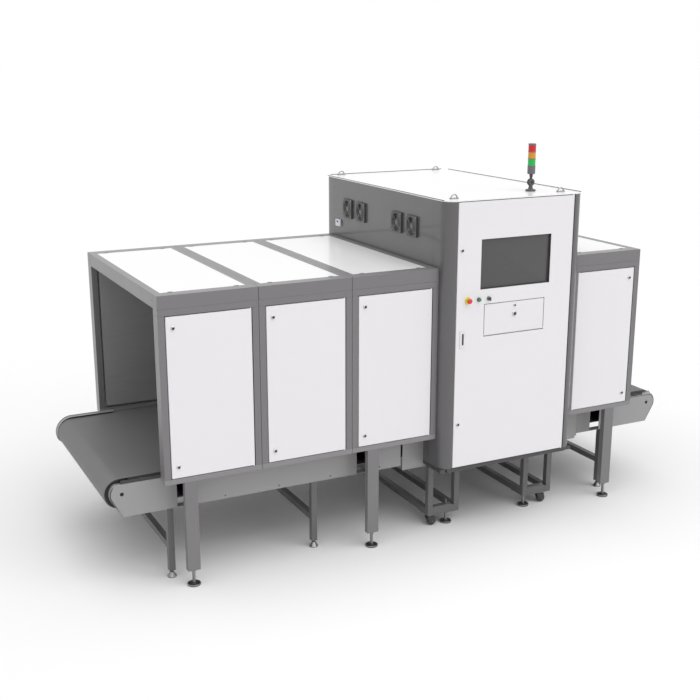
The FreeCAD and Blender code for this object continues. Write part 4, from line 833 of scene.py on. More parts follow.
@dataclass
class Locks:
    """Every lock of the doors and panels, on the places of the CAD heads."""

    reach: float = 9.0
    bezel_margin: float = 2.5
    head: float = 8.0
    back_radius: float = 13.5
    back_reach: float = 7.8
    back_face: float = 0.817

    def on_node(self, node: str) -> None:
        """Puts a lock on each head of a CAD node."""
        bezels, barrels = [], []
        for box in solids(node):
            lock = RoundLock((box[1][0] - box[0][0]) / MM / 2 + self.bezel_margin, self.reach)
            place = face_centre(box, 1, 0) + (0, self.head * MM, 0)
            bezels.append(lock.bezel().put(Facing.FRONT, place))
            barrels.append(lock.barrel().put(Facing.FRONT, place))
        piece(f"{node}_bezels", joined(bezels), CHROME, BODY_OF[node], [node])
        piece(f"{node}_barrels", joined(barrels), BLACK_ENAMEL, BODY_OF[node])

    def on_back(self) -> None:
        """Puts locks on the fixed panels at the back, across from the heads in front."""
        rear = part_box("cabinet_back_panel")[1][1] - self.head * MM
        spots = [(middle(*box), self.back_face) for n in range(1, 5) for box in solids(f"side_panel_locks_{n}")]
        spots += [(middle(*box), rear) for box in solids("door_locks")]
        places = [(spot[0], y, spot[2]) for spot, y in spots]
        lock = RoundLock(self.back_radius, self.back_reach)
        piece("back_lock_bezels", repeated(lock.bezel(), Facing.BACK, places), CHROME)
        piece("back_lock_barrels", repeated(lock.barrel(), Facing.BACK, places), BLACK_ENAMEL)

    def build(self) -> None:
        """Makes every lock."""
        for node in LOCK_NODES:
            self.on_node(node)
        self.on_back()


@dataclass
class DoorFittings:
    """Buttons, key switch and handle on the cabinet door, in millimetres out of the door's face."""

    estop_collar: float = 22.0
    estop_head: float = 17.0
    estop_tip: float = 33.0
    bore: float = 10.3
    button: float = 9.6
    button_tip: float = 22.0
    collar: float = 12.5
    collar_reach: float = 15.0
    handle: tuple[float, float, float] = (43.0, 113.0, 6.0)
    slot: tuple[float, float] = (14.0, 78.0)

    def centre(self, node: str, index: int = 0) -> tuple[float, float, float]:
        """The middle of a CAD fitting, on the door's face."""
        x, _, z = middle(*solids(node)[index])
        return x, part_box("cabinet_door")[0][1], z

    def build(self) -> None:
        """Makes every fitting."""
        self.make_estop()
        self.make_start()
        self.make_key()
        self.make_handle()

    def make_estop(self) -> None:
        """Yellow collar and red mushroom head."""
        r, tip, place = self.estop_head, self.estop_tip, self.centre("estop_collar")
        c = self.estop_collar
        collar = lathe([(9.4, 0), (c, 0), (c, 9), (c - 1.5, 12.5), (c - 6, 14), (9.4, 14), (9.4, 0)], 1.0, 48, True)
        piece("estop_collar_turned", collar.put(Facing.FRONT, place), PLASTIC_YELLOW, "cabinet_door",
              ["estop_collar"])
        head = lathe([(0, -2), (9, -2), (9, 19), (r - 3, 19), (r, 21.5), (r, 27), (r - 2, tip - 2.2),
                      (r - 7, tip - 0.3), (0, tip)], 1.6, 48)
        piece("estop_mushroom", head.put(Facing.FRONT, place), PLASTIC_RED, "estop_button", ["estop_button"])

    def make_start(self) -> None:
        """Green push button in its dark bezel, and the same bezel for the key switch."""
        b, c, reach, tip = self.bore, self.collar, self.collar_reach, self.button_tip
        ring = lathe([(b, 0), (c + 1.5, 0), (c + 1.5, 3), (c, 4), (c, reach - 1.5), (c - 1.2, reach), (b, reach),
                      (b, 0)], 0.6, 40, True)
        places = [self.centre("button_collars", index) for index in range(2)]
        piece("button_bezels", repeated(ring, Facing.FRONT, places), METAL_DARK, "cabinet_door", ["button_collars"])
        r = self.button
        cap = lathe([(0, -2), (r, -2), (r, tip - 2), (r - 1, tip - 0.6), (0, tip)], 0.8, 40)
        piece("start_cap", cap.put(Facing.FRONT, self.centre("start_button")), PLASTIC_GREEN, "start_button",
              ["start_button"])

    def make_key(self) -> None:
        """Key barrel with a rim, and the key's blade and bow standing in it."""
        tip = self.collar_reach + 2
        barrel = lathe([(0, -2), (9.8, -2), (9.8, tip - 1), (8.6, tip), (7.4, tip), (7.0, tip - 1.2), (0, tip - 1.2)],
                       0.4, 36)
        bow = window((24, 13, 6.0), (10, 5, 2.4), 0, 3.2, 0.7).moved(z=-1.6 * MM)
        blade = slab(5, 7, 2.4, 0.6, 0.3, 2).moved(0, -5 * MM, -1.2 * MM)
        # The bow's own x runs up the door and its own y out of it
        stand = ((0, 0, 1), (0, -1, 0), (1, 0, 0))
        x, y, z = self.centre("key_switch")
        key = joined([bow, blade]).turned(stand).moved(x, y - (tip + 8) * MM, z)
        piece("key_switch_turned", joined([barrel.put(Facing.FRONT, (x, y, z)), key]), METAL_DARK, "key_switch",
              ["key_switch"])

    def make_handle(self) -> None:
        """Pale plate with a dark slot."""
        width, height, reach = self.handle
        slot_width, slot_height = self.slot
        place = face_centre(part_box("door_handle"), 1, 1)
        plate = window((width, height, 3.0), (slot_width, slot_height, slot_width / 2 - 0.4), 0, reach, 1.2)
        piece("handle_plate", plate.put(Facing.FRONT, place), PLASTIC_HANDLE, "cabinet_door", ["door_handle"])
        floor = slab(slot_width + 1, slot_height + 1, 1.2, 7.0, 0.3)
        grip = slab(slot_width - 3, slot_height - 34, 2.2, 4.0, 1.0).moved(0, -10 * MM, 1.0 * MM)
        piece("handle_grip", joined([floor, grip]).put(Facing.FRONT, place), PLASTIC_DARK, "cabinet_door")


@dataclass
class Fans:
    """The four axial fans on the left wall, in millimetres out of the wall."""

    size: float = 136.0
    bore: float = 60.0
    depth: float = 15.0
    hub: float = 20.0
    blades: int = 7
    chord: float = 30.0
    twist: float = 38.0
    sweep: float = 26.0
    wire: float = 1.25
    rings: tuple[float, ...] = (31.0, 45.0, 57.5)
    flatness: float = 0.42
    blade_level: float = 7.2

    def blade(self) -> Shell:
        """One blade: an ellipse section (half chord cos w, half thickness sin w) carried out from the hub,
        turned by the twist, which fades by a third, and swept back as the square of the way out."""
        u = np.linspace(0, 1, 12)[:, None]
        w = np.linspace(0, 2 * np.pi, 20, endpoint=False)[None, :]
        along = self.chord / 2 * (0.85 + 0.5 * u) * np.cos(w)
        across = 1.0 * (1 - 0.3 * u) * np.sin(w) + 1.2 * np.cos(w) ** 2
        lean = np.radians(self.twist * (1.15 - 0.33 * u))
        side = along * np.cos(lean) - across * np.sin(lean)
        rise = along * np.sin(lean) + across * np.cos(lean)
        reach = self.hub - 1 + (self.bore - 2 - self.hub) * u
        turn = side / reach + np.radians(self.sweep) * u ** 2
        return skin(np.stack([reach * np.sin(turn), reach * np.cos(turn),
                              self.flatness * rise + self.blade_level], -1) * MM, caps=True)

    def guard(self) -> Shell:
        """Rings and spokes of round wire over the bore."""
        up = (0, 0, 1)
        parts = [tube(circle(radius, 60), self.wire, up, True, 6) for radius in self.rings]
        reach = np.linspace(self.hub - 6, self.size / 2 - 9, 8)
        spoke = tube(np.stack([reach, reach * 0, reach * 0], -1), self.wire, up, sides=6)
        parts += [spoke.spun(45 + 90 * n) for n in range(4)]
        return joined(parts).moved(z=(self.depth - self.wire) * MM)

    def build(self) -> None:
        """Makes all four."""
        corner, tip, bore = self.size / 2 - 9, self.depth - 2.6, self.bore
        case = window((self.size, self.size, 6.0), (2 * bore, 2 * bore, bore), 0, self.depth, 1.2, 8)
        back = disc(bore + 2, 0.5, 2.5, 0.2)
        rotor = joined([self.blade().spun(360 * n / self.blades) for n in range(self.blades)])
        hub = lathe([(0, 2), (self.hub, 2), (self.hub, tip - 2), (self.hub - 3, tip), (0, tip + 0.3)], 1.4, 40)
        heads = joined([screw_head(3.2, 2.0).moved(sx * corner * MM, sy * corner * MM, (self.depth - 1.2) * MM)
                        for sx in (-1, 1) for sy in (-1, 1)])
        places = [face_centre(box, 0, 1) for box in solids("side_fans")]
        for name, shape, finish, replaced in (
                ("frames", joined([case, back]), PLASTIC_FAN, ["side_fans"]), ("rotors", rotor, PLASTIC_DARK, []),
                ("hubs", hub, PLASTIC_HUB, []), ("guards", self.guard(), WIRE, []), ("screws", heads, STEEL, [])):
            piece(f"fan_{name}", repeated(shape, Facing.LEFT, places), finish, replaces=replaced)


@dataclass
class Sensor:
    """The small white case on the left wall with its indicator window."""

    size: tuple[float, float, float] = (74.0, 50.0, 15.0)

    def build(self) -> None:
        """Makes the case and its windows."""
        place = face_centre(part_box("side_sensor"), 0, 1)
        width, height, depth = self.size
        case = slab(width, height, depth, 6.0, 3.5, 4)
        piece("sensor_case", case.put(Facing.LEFT, place), PLASTIC_WHITE, replaces=["side_sensor"])
        pane = slab(34, 15, 1.2, 7.0, 0.5).moved(-3 * MM, 9 * MM, (depth - 0.9) * MM)
        piece("sensor_window", pane.put(Facing.LEFT, place), LENS_BLUE)
        dot = lathe([(0, 0), (3.4, 0), (3.4, 0.8), (0, 1.6)], 0.5, 20).moved(31 * MM, -17 * MM, (depth - 1.0) * MM)
        piece("sensor_lamp", dot.put(Facing.LEFT, place), LENS_RED)


@dataclass
class SignalTower:
    """Folding signal tower: flange, knuckle, neck, body, three ribbed lamps and a cap, in millimetres."""

    flange: float = 34.0
    pivot: float = 59.0
    cheek: float = 24.0
    body: float = 26.0
    body_low: float = 112.0
    body_height: float = 55.0
    lamp: float = 25.0
    lamp_height: float = 45.0
    ribs: int = 30
    seam: float = 2.4

    def __post_init__(self) -> None:
        """Finds the foot's place on the roof."""
        self.foot = face_centre(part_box("tower_base"), 2, 0)

    def build(self) -> None:
        """Makes the base and what folds with the stem."""
        self.make_base()
        self.make_stem()
        for index, (node, finish) in enumerate((("green", LENS_GREEN), ("amber", LENS_AMBER), ("red", LENS_RED))):
            level = self.body_low + self.body_height + index * self.lamp_height
            piece(f"{node}_lens", self.lens(level).put(Facing.UP, self.foot), finish, "tower_stem",
                  [f"tower_{node}_lamp"])
        self.make_rings()

    def make_base(self) -> None:
        """Flange, cone, saddle and the two round cheeks of the knuckle with their bolt."""
        f, p, c = self.flange, self.pivot, self.cheek
        cone = lathe([(0, 0), (f, 0), (f, 9), (f - 3, 12), (18, 12.6), (16.5, 15), (11.5, p - c), (11, p - c + 2),
                      (0, p - c + 2)], 1.6, 48)
        cheek = lathe([(0, 6.6), (c, 6.6), (c, 10.4), (c - 3.2, 13.4), (0, 13.4)], 1.6, 40)
        screws = lathe([(0, 13), (6.5, 13), (6.5, 16), (5.4, 17), (3, 17), (3, 14.6), (0, 14.6)], 0.5, 24)
        saddle = slab(21, 26.6, 5.0, 3.0, 1.0).moved(z=(p - c) * MM)
        knuckle = [cheek.put(way, (0, 0, p * MM)) for way in (Facing.FRONT, Facing.BACK)]
        piece("tower_foot", joined([cone, saddle] + knuckle).put(Facing.UP, self.foot), PLASTIC_KNUCKLE,
              replaces=["tower_base"])
        bolts = [screws.put(way, (0, 0, p * MM)) for way in (Facing.FRONT, Facing.BACK)]
        piece("tower_bolts", joined(bolts).put(Facing.UP, self.foot), BLACK_ENAMEL)

    def make_stem(self) -> None:
        """Tongue between the cheeks, black tapering neck and the body."""
        p, b, low = self.pivot, self.body, self.body_low
        tongue = lathe([(5.3, -6), (20, -6), (20, 6), (5.3, 6), (5.3, -6)], 0.8, 40, True)
        tongue = tongue.put(Facing.FRONT, (0, 0, p * MM))
        neck = lathe([(0, p + 12), (8.5, p + 12), (8.5, p + 26), (12.5, low - 3), (14, low + 1), (0, low + 1)], 1.5, 32)
        piece("tower_neck", joined([tongue, neck]).put(Facing.UP, self.foot), PLASTIC_DARK, "tower_stem",
              ["tower_stem"])
        top = low + self.body_height
        case = lathe([(0, low), (b - 4, low), (b, low + 3), (b, top - 1), (b - 1, top), (0, top)], 1.0, 48)
        piece("tower_body", case.put(Facing.UP, self.foot), PLASTIC_TOWER, "tower_stem")

    def lens(self, level: float) -> Shell:
        """A lamp: the radius drops by a third of a millimetre between ribs, as |sin| of the angle times the ribs."""
        v = np.linspace(0, 2 * np.pi, self.ribs * 8, endpoint=False)[None, :]
        z = np.array([0.4, 0.8, 3.0, 3.6, 23, self.lamp_height - 3.6, self.lamp_height - 3, self.lamp_height - 0.8,
                      self.lamp_height - 0.4])[:, None]
        ribbed = ((z > 3.3) & (z < self.lamp_height - 3.3)).astype(float)
        rim = (np.abs(z - self.lamp_height / 2) > self.lamp_height / 2 - 0.6).astype(float)
        reach = self.lamp - rim * 0.4 - ribbed * (0.25 + 0.45 * np.abs(np.sin(v * self.ribs / 2)))
        grid = np.stack([reach * np.cos(v), reach * np.sin(v), z + level + 0 * v], -1)
        return skin(grid * MM, caps=True)

    def make_rings(self) -> None:
        """Grey joint rings between the lamps, and the cap."""
        r, half = self.body, self.seam
        levels = [self.body_low + self.body_height + index * self.lamp_height for index in range(4)]
        rings = [disc(r, z - half, z + half, 0.5) for z in levels]
        z = levels[-1]
        cap = lathe([(0, z), (self.body, z), (self.body, z + 6), (self.body - 3, z + 9.2), (0, z + 10)], 1.5, 48)
        piece("tower_cap_turned", joined(rings + [cap]).put(Facing.UP, self.foot), PLASTIC_TOWER, "tower_stem",
              ["tower_cap"])


@dataclass
class LiftingEyes:
    """Lifting eyes on the cabinet's roof, in millimetres: base, half ring with thickened roots, two bolts."""

    base: tuple[float, float, float] = (60.0, 24.0, 5.0)
    ring: float = 22.0
    rod: float = 4.5

    def build(self) -> None:
        """Makes all four."""
        t = np.linspace(0, np.pi, 28)
        path = np.stack([self.ring * np.cos(t), 0 * t, self.ring * np.sin(t)], -1)
        arch = tube(path, self.rod, (0, 1, 0), sides=14).moved(z=self.base[2] * MM)
        roots = [lathe([(0, 0), (8.4, 0), (7.6, 5), (5.2, 9), (0, 9)], 1.6, 20)
                 .moved(side * self.ring * MM, 0, (self.base[2] - 0.4) * MM) for side in (-1, 1)]
        foot = slab(self.base[0], self.base[1], self.base[2], 5.0, 1.2)
        bolt = hex_bolt(4.5, 3.2).moved(z=self.base[2] * MM)
        eye = joined([arch, foot, bolt] + roots)
        places = [face_centre(box, 2, 0) for box in solids("lifting_eyes")]
        piece("lifting_eye_forgings", repeated(eye, Facing.UP, places), EYE_STEEL, replaces=["lifting_eyes"])


@dataclass
class Feet:
    """Levelling feet: plated discs on threaded stems, and plated cones under the conveyor, in millimetres."""

    disc: float = 41.0
    stem: float = 10.0
    pitch: float = 2.5
    thread: float = 0.7
    cone: float = 30.0

    def threaded(self, low: float, high: float, radius: float) -> Shell:
        """A threaded rod: the radius less the thread's depth times a triangle wave of height / pitch - angle."""
        z = np.arange(low, high, self.pitch / 4)[:, None]
        v = np.linspace(0, 2 * np.pi, 16, endpoint=False)[None, :]
        phase = (z / self.pitch - v / (2 * np.pi)) % 1.0
        reach = radius - self.thread * np.abs(2 * phase - 1)
        return skin(np.stack([reach * np.cos(v), reach * np.sin(v), z + 0 * v], -1) * MM, caps=True)

    def round_foot(self, top: float) -> tuple[Shell, Shell]:
        """Rolled rim, threaded stem and lock nut in zinc; the dished black pad and ball socket inside the rim."""
        d, s = self.disc, self.stem
        rim = lathe([(d - 6, 3), (d - 1.5, 2.6), (d, 4), (d, 11.6), (d - 1.6, 13.4), (d - 4.4, 13.4), (d - 5, 11),
                     (d - 6, 3)], 1.2, 56, True)
        pad = lathe([(0, 3), (d - 5.4, 3), (d - 5.4, 9.4), (20, 11), (17, 17.5), (13, 19), (0, 19)], 1.4, 48)
        nut = hexagon(15.5, 9.0).moved(z=(top - 10) * MM)
        return joined([rim, self.threaded(17, top, s), nut]), pad

    def cone_foot(self, top: float) -> tuple[Shell, Shell]:
        """Wide cone over a rim, under a short threaded stem; a black collar closes the cone's top."""
        c = self.cone
        body = lathe([(0, 1.4), (c - 0.6, 1.4), (c, 2.2), (c, 5.6), (c - 1.4, 7.0), (12, top - 14), (10.5, top - 12),
                      (0, top - 12)], 0.9, 56)
        collar = lathe([(0, top - 13), (11.5, top - 13), (11.5, top - 9), (10, top - 7.4), (0, top - 7.4)], 0.6, 32)
        return joined([body, self.threaded(top - 12, top, 8.0)]), collar

    def build(self) -> None:
        """Makes every foot, the black parts on them and the dark pads under them."""
        plated, black, pads = [], [], []
        for low, high in solids("levelling_feet"):
            place = (*middle(low, high)[:2], 0.0)
            top = high[2] / MM
            wide = (high[0] - low[0]) / MM > self.disc * 1.8
            bright, dark = self.round_foot(top) if wide else self.cone_foot(top)
            plated.append(bright.put(Facing.UP, place))
            black.append(dark.put(Facing.UP, place))
            reach = (self.disc if wide else self.cone) - 1.2
            pads.append(lathe([(0, 0), (reach - 0.6, 0), (reach, 0.6), (reach, 2.8), (0, 2.8)], 0.4, 48)
                        .put(Facing.UP, place))
        piece("levelling_feet_plated", joined(plated), ZINC, replaces=["levelling_feet"])
        piece("levelling_foot_dishes", joined(black), BLACK_ENAMEL)
        piece("levelling_foot_pads", joined(pads), RUBBER_TREAD)


@dataclass
class Casters:
    """Four small casters: pressed forks from the CAD with eased edges, turned wheels, axle bolts and nuts."""

    radius: float = 31.5
    width: float = 27.0
    fork_half: float = 23.0

    def tyre(self) -> Shell:
        """Crowned tread with a groove beside each wall."""
        r, h = self.radius, self.width / 2
        return lathe([(21.5, -h + 3.4), (23, -h + 1), (r - 2.6, -h), (r - 0.5, -h + 3), (r, 0), (r - 0.5, h - 3),
                      (r - 2.6, h), (23, h - 1), (21.5, h - 3.4), (21.5, -h + 3.4)], 1.2, 48, True)

    def hub(self) -> Shell:
        """Dished hub with a boss on each side."""
        h = self.width / 2
        return lathe([(5.4, -h), (10, -h), (11.4, -h + 3), (21.8, -h + 5.4), (21.8, h - 5.4), (11.4, h - 3), (10, h),
                      (5.4, h), (5.4, -h)], 0.9, 40, True)

    def axle(self) -> Shell:
        """Bolt head and nut outside the fork's cheeks."""
        return joined([hex_bolt(6.5, 3.5).moved(z=(self.fork_half - 2.2) * MM).put(way, (0, 0, 0))
                       for way in (Facing.FRONT, Facing.BACK)])

    def build(self) -> None:
        """Makes the two front casters that move, and the two at the back."""
        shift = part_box("back_casters")[1][1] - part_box("left_caster_fork")[1][1]
        back: dict[str, list[Shell]] = {name: [] for name in ("fork_pressings", "tyres", "hubs", "axle_bolts")}
        for side in ("left", "right"):
            place = middle(*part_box(f"{side}_caster_wheel"))
            tyre, hub = self.tyre().put(Facing.FRONT, place), self.hub().put(Facing.FRONT, place)
            axle, fork = self.axle().moved(*place), cad_shell(f"{side}_caster_fork")
            piece(f"{side}_tyre", tyre, RUBBER_TREAD, f"{side}_caster_wheel", [f"{side}_caster_wheel"])
            piece(f"{side}_hub", hub, PLASTIC_HUB, f"{side}_caster_wheel")
            piece(f"{side}_fork_pressing", fork, PLASTIC_DARK, f"{side}_caster_fork", [f"{side}_caster_fork"],
                  0.8, flats=True)
            piece(f"{side}_axle_bolt", axle, METAL_DARK, f"{side}_caster_fork")
            for name, shell in zip(back, (fork, tyre, hub, axle)):
                back[name].append(shell.moved(y=shift))
        piece("back_fork_pressings", joined(back["fork_pressings"]), PLASTIC_DARK, "frame", ["back_casters"], 0.8,
              flats=True)
        for name, finish in (("tyres", RUBBER_TREAD), ("hubs", PLASTIC_HUB), ("axle_bolts", METAL_DARK)):
            piece(f"back_{name}", joined(back[name]), finish)


@dataclass
class TunnelTrim:
    """Small parts of the tunnel's frame: clips that hold the roof panels, and screws in the end beams."""

    clip: tuple[float, float, float] = (30.0, 9.0, 4.5)
    clip_inset: float = 60.0
    screw: float = 4.0

    def build(self) -> None:
        """Makes the clips and the screws."""
        self.make_clips()
        self.make_screws()

    def make_clips(self) -> None:
        """Two clips on each long edge of every roof panel: a foot on the header and a lip on the panel."""
        width, depth, height = self.clip
        clip = slab(width, depth, height, 2.0, 1.0)
        inset, edge, sunk = self.clip_inset * MM, 1.0 * MM, 0.6 * MM
        clips = [clip.moved(x, y, high[2] - sunk) for low, high in solids("tunnel_roof_panels")
                 for x in (low[0] + inset, high[0] - inset) for y in (low[1] + edge, high[1] - edge)]
        piece("roof_clips", joined(clips), PAINT_FRAME)

    def make_screws(self) -> None:
        """Two screws near each end of the beams that close the tunnel's ends."""
        beams = solids("tunnel_cross_beams")
        left, right = beams[0], beams[-1]
        head = screw_head(self.screw, 1.6)
        screws = []
        for (low, high), way, face in ((left, Facing.LEFT, left[0][0]), (right, Facing.RIGHT, right[1][0])):
            for y in (low[1] + 0.012, high[1] - 0.012):
                screws.append(head.put(way, (face, y, (low[2] + high[2]) / 2)))
        piece("end_beam_screws", joined(screws), METAL_DARK)


@dataclass
class Conveyor:
    """Belt, drums, side rails and sloped plate rims, in millimetres in the frame's own axes."""

    axle_level: float = 607.0
    left_axle: float = -2001.0
    right_axle: float = 1964.0
    radius: float = 94.0
    thickness: float = 5.0
    near_edge: float = -604.0
    far_edge: float = 646.0
    rail: tuple[float, float, float, float] = (-624.0, -613.0, 671.0, 691.0)
    guard: tuple[float, float] = (628.0, 663.0)
    guard_radius: float = 106.0
    guard_thick: float = 3.0
    nose: float = 1992.0
    rim: float = 73.5
    rim_draw: float = 8.0
    rim_fade: tuple[float, float] = (66.0, 20.0)
    tip: float = 5.0
    plate_front: float = -627.5
    plate_back: float = -575.0
    near_side: float = -570.0
    lip_level: float = 60.0
    lip_run: float = -350.0
    lip_face: float = -600.0
    lip_rise: float = 16.0
    shaft: float = 6.0

    def build(self) -> None:
        """Makes every part of the conveyor that the solids keep plain."""
        self.make_belt()
        self.make_drums()
        self.make_rails()
        self.make_guards()
        self.make_plates()
        self.make_shaft_hole_shade()

    def loop(self) -> np.ndarray:
        """The belt's line round both drums, clockwise from the top of the left one as the front sees it."""
        left, right, r = (self.left_axle, self.axle_level), (self.right_axle, self.axle_level), self.radius
        top = np.linspace((self.left_axle, self.axle_level + r), (self.right_axle, self.axle_level + r), 60)[1:-1]
        low = top[::-1] - (0, 2 * r)
        return np.vstack([arc(left, r, 270, 90, 48), top, arc(right, r, 90, -90, 48), low])

    def make_belt(self) -> None:
        """The belt's loop with slightly rounded edges."""
        near, far, t = self.near_edge, self.far_edge, self.thickness
        section = [(0, near + 1.2), (0, far - 1.2), (-0.35 * t, far), (-t, far - 0.6), (-t, near + 0.6),
                   (-0.35 * t, near)]
        piece("belt_loop", ribbon(self.loop(), section, True), RUBBER_BELT, replaces=["belt"])

    def make_drums(self) -> None:
        """Black drums with dished ends, inside the belt."""
        r, half = self.radius - self.thickness - 0.6, (self.far_edge - self.near_edge) / 2
        y = (self.far_edge + self.near_edge) / 2
        end = [(0, half + 14), (24, half + 14), (24, half - 3), (r - 7, half - 3), (r - 6, half - 1), (r, half - 1)]
        drum = lathe([(radius, -level) for radius, level in end] + end[::-1], 1.0, 64)
        places = [(x * MM, y * MM, self.axle_level * MM) for x in (self.left_axle, self.right_axle)]
        piece("drum_shells", repeated(drum, Facing.FRONT, places), BLACK_ENAMEL, replaces=["end_drums"])

    def make_rails(self) -> None:
        """Dark rails that close the gap between the near plates' tops and the belt: a near-black strip that is painted
        shade, standing in for the shade under the belt's edge.
        """
        front, back, low, high = self.rail
        section = [(0, front), (0, back), (low - high, back), (low - high, front)]
        runs = ((self.left_axle + 5, -112.0), (1358.0, self.right_axle - 12))
        rails = [ribbon(np.array([(a, high), ((a + b) / 2, high), (b, high)]), section) for a, b in runs]
        piece("bed_rails_painted_shade", joined(rails), BED_STEEL_AND_SHADE)

    def make_guards(self) -> None:
        """Turned-in lips along the top of the far plates' ends, where they guard the belt's edge."""
        inner, outer = self.guard
        r, z, t, x = self.guard_radius, self.axle_level, self.guard_thick, self.nose
        section = [(0, inner), (0, outer), (-t, outer), (-t, inner)]
        left = np.vstack([arc((-x, z), r, 196, 90, 40), [(-1860.0, z + r), (-1700.0, z + r)]])
        right = np.vstack([[(1640.0, z + r), (1800.0, z + r)], arc((x, z), r, 90, -16, 40)])
        piece("belt_guards", joined([ribbon(left, section), ribbon(right, section)]), PAINT_CONVEYOR, bevel=0.8)

    def make_plates(self) -> None:
        """The side plates with a sloped rim: the near faces' outline draws in round the noses, and the lip behind
        it comes forward and rises, both in step with how far a point is round the nose."""
        shell = cad_shell("conveyor_side_plates")
        points = shell.points.copy()
        for side in (-1, 1):
            x, z = points[:, 0] * side - self.nose * MM, points[:, 2] - self.axle_level * MM
            reach = np.hypot(x, z) + 1e-9
            near = points[:, 1] < self.near_side * MM
            beyond = (x > self.tip * MM) & (reach > self.rim * MM)
            # The left rim fades out towards the plate's top edge
            high, run = self.rim_fade
            share = np.clip((high * MM - z) / (run * MM), 0, 1) if side < 0 else 1.0
            face = near & beyond & (points[:, 1] < self.plate_front * MM)
            along_top = (x > self.lip_run * MM) & (z > self.lip_level * MM)
            lip = near & (points[:, 1] > self.plate_back * MM) & (along_top if side > 0 else beyond)
            draw = np.where(face, self.rim_draw * MM * share, 0.0) / reach
            points[:, 0] -= draw * x * side
            points[:, 2] -= draw * z
            points[:, 1] = np.where(lip, self.lip_face * MM, points[:, 1])
            points[:, 2] += np.where(lip & (side > 0), self.lip_rise * MM, 0.0)
        shell = Shell(points, shell.corners, shell.sizes)
        piece("conveyor_side_plates_eased", shell, PAINT_CONVEYOR, "frame", ["conveyor_side_plates"], 0.6, flats=True)

    def make_shaft_hole_shade(self) -> None:
        """A black disc flush with the plates' faces at each drum shaft's hole: the shaft's end, and painted shade for
        the dark of the hole.
        """
        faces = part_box("conveyor_side_plates")
        end = disc(self.shaft, -1, 0.3, 0.1, 24)
        ends = [end.put(way, (x * MM, faces[number][1], self.axle_level * MM)) for x in (-self.nose, self.nose)
                for number, way in enumerate((Facing.FRONT, Facing.BACK))]
        piece("shaft_hole_painted_shade", joined(ends), BLACK_ENAMEL)


@dataclass
class CabinetTrim:
    """Flashing on the roof's edges, low side walls and the flap's rebate, in millimetres."""

    lip: float = 6.0
    rise: float = 4.0
    wall: float = 3.0
    wall_top: float = 0.7
    column_faces: tuple[float, float] = (-0.7005, 0.7255)
    corner: float = 45.0
    rebate: float = 9.0
    rebate_gap: float = 2.6

    def build(self) -> None:
        """Makes every part."""
        self.make_flashing()
        self.make_low_walls()
        self.make_rebate()

    def make_flashing(self) -> None:
        """Upstands along the roof's left, back and right edges."""
        low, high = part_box("cabinet_roof")
        depth, width = (high[1] - low[1]) / MM - 2 * self.corner, (high[0] - low[0]) / MM - 2 * self.corner
        side = slab(self.lip, depth, self.rise + 1, 1.5, 0.8)
        back = slab(width, self.lip, self.rise + 1, 1.5, 0.8)
        x, y, _ = middle(low, high)
        top, inset = high[2] - 0.001, self.lip / 2 * MM
        strips = [side.moved(low[0] + inset, y, top), side.moved(high[0] - inset, y, top),
                  back.moved(x, high[1] - inset, top)]
        piece("roof_flashing", joined(strips), PAINT_WALL)

    def make_low_walls(self) -> None:
        """The side walls' lower parts between the corner columns and the conveyor's plates."""
        columns, plates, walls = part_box("corner_columns"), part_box("conveyor_side_plates"), []
        bottom, top = columns[0][2], self.wall_top
        height, level, wall = (top - bottom) / MM, (top + bottom) / 2, self.wall * MM
        ends = ((columns[0][0] + wall, Facing.LEFT), (columns[1][0] - wall, Facing.RIGHT))
        near, far = self.column_faces
        for front, back in ((near, plates[0][1] - 0.001), (plates[1][1] + 0.001, far)):
            sheet = slab(abs(back - front) / MM, height, self.wall, 1.2, 0.5)
            walls += [sheet.put(way, (x, (front + back) / 2, level)) for x, way in ends]
        piece("low_side_walls", joined(walls), PAINT_WALL)

    def make_rebate(self) -> None:
        """A pale step behind the flap's edge."""
        low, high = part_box("keyboard_flap")
        width, height, step = (high[0] - low[0]) / MM, (high[2] - low[2]) / MM, 2 * self.rebate
        frame_shape = window((width + 12, height + 12, 2.0), (width - step, height - step, 2.0), 0, 2.0, 0.4)
        place = face_centre((low, high), 1, 1) + (0, self.rebate_gap * MM, 0)
        piece("flap_rebate", frame_shape.put(Facing.FRONT, place), PAINT_PANEL, "cabinet_door")


@dataclass
class Monitor:
    """Display set back behind the door's window, in millimetres: case with an opening, and the glass in it."""

    border: float = 30.0
    # Width of the black bezel's band, across and up: partly painted shade
    bezel: tuple[float, float] = (5.0, 18.0)
    set_back: float = 14.0

    def build(self) -> None:
        """Makes the case and the glass."""
        low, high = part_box("monitor_screen")
        width, depth, height = ((end - start) / MM for start, end in zip(low, high))
        place = face_centre((low, high), 1, 1)
        hole = (width - self.border, height - self.border, 3.0)
        case = window((width, height, 5.0), hole, 0, depth, 0.8)
        back = slab(width - 6, height - 6, 6.0, 3.0, 0.6)
        # The black bezel round the glass is the display's own frame, and its dark band also stands in for the shade
        # that the window's edges cast on the screen: painted shade.
        sight = (hole[0] - self.bezel[0], hole[1] - self.bezel[1], 2.0)
        bezel = window((hole[0] + 4, hole[1] + 4, 3.0), sight, 0, 2.6, 0.5)
        bezel = bezel.moved(z=(depth - self.set_back) * MM)
        piece("monitor_case", joined([case, back, bezel]).put(Facing.FRONT, place), PLASTIC_DARK, "cabinet_door")
        glass = slab(hole[0] + 2, hole[1] + 2, 4.0, 3.0, 0.6).moved(z=(depth - self.set_back - 3.6) * MM)
        piece("monitor_glass", glass.put(Facing.FRONT, place), GLASS_SCREEN, "cabinet_door", ["monitor_screen"])


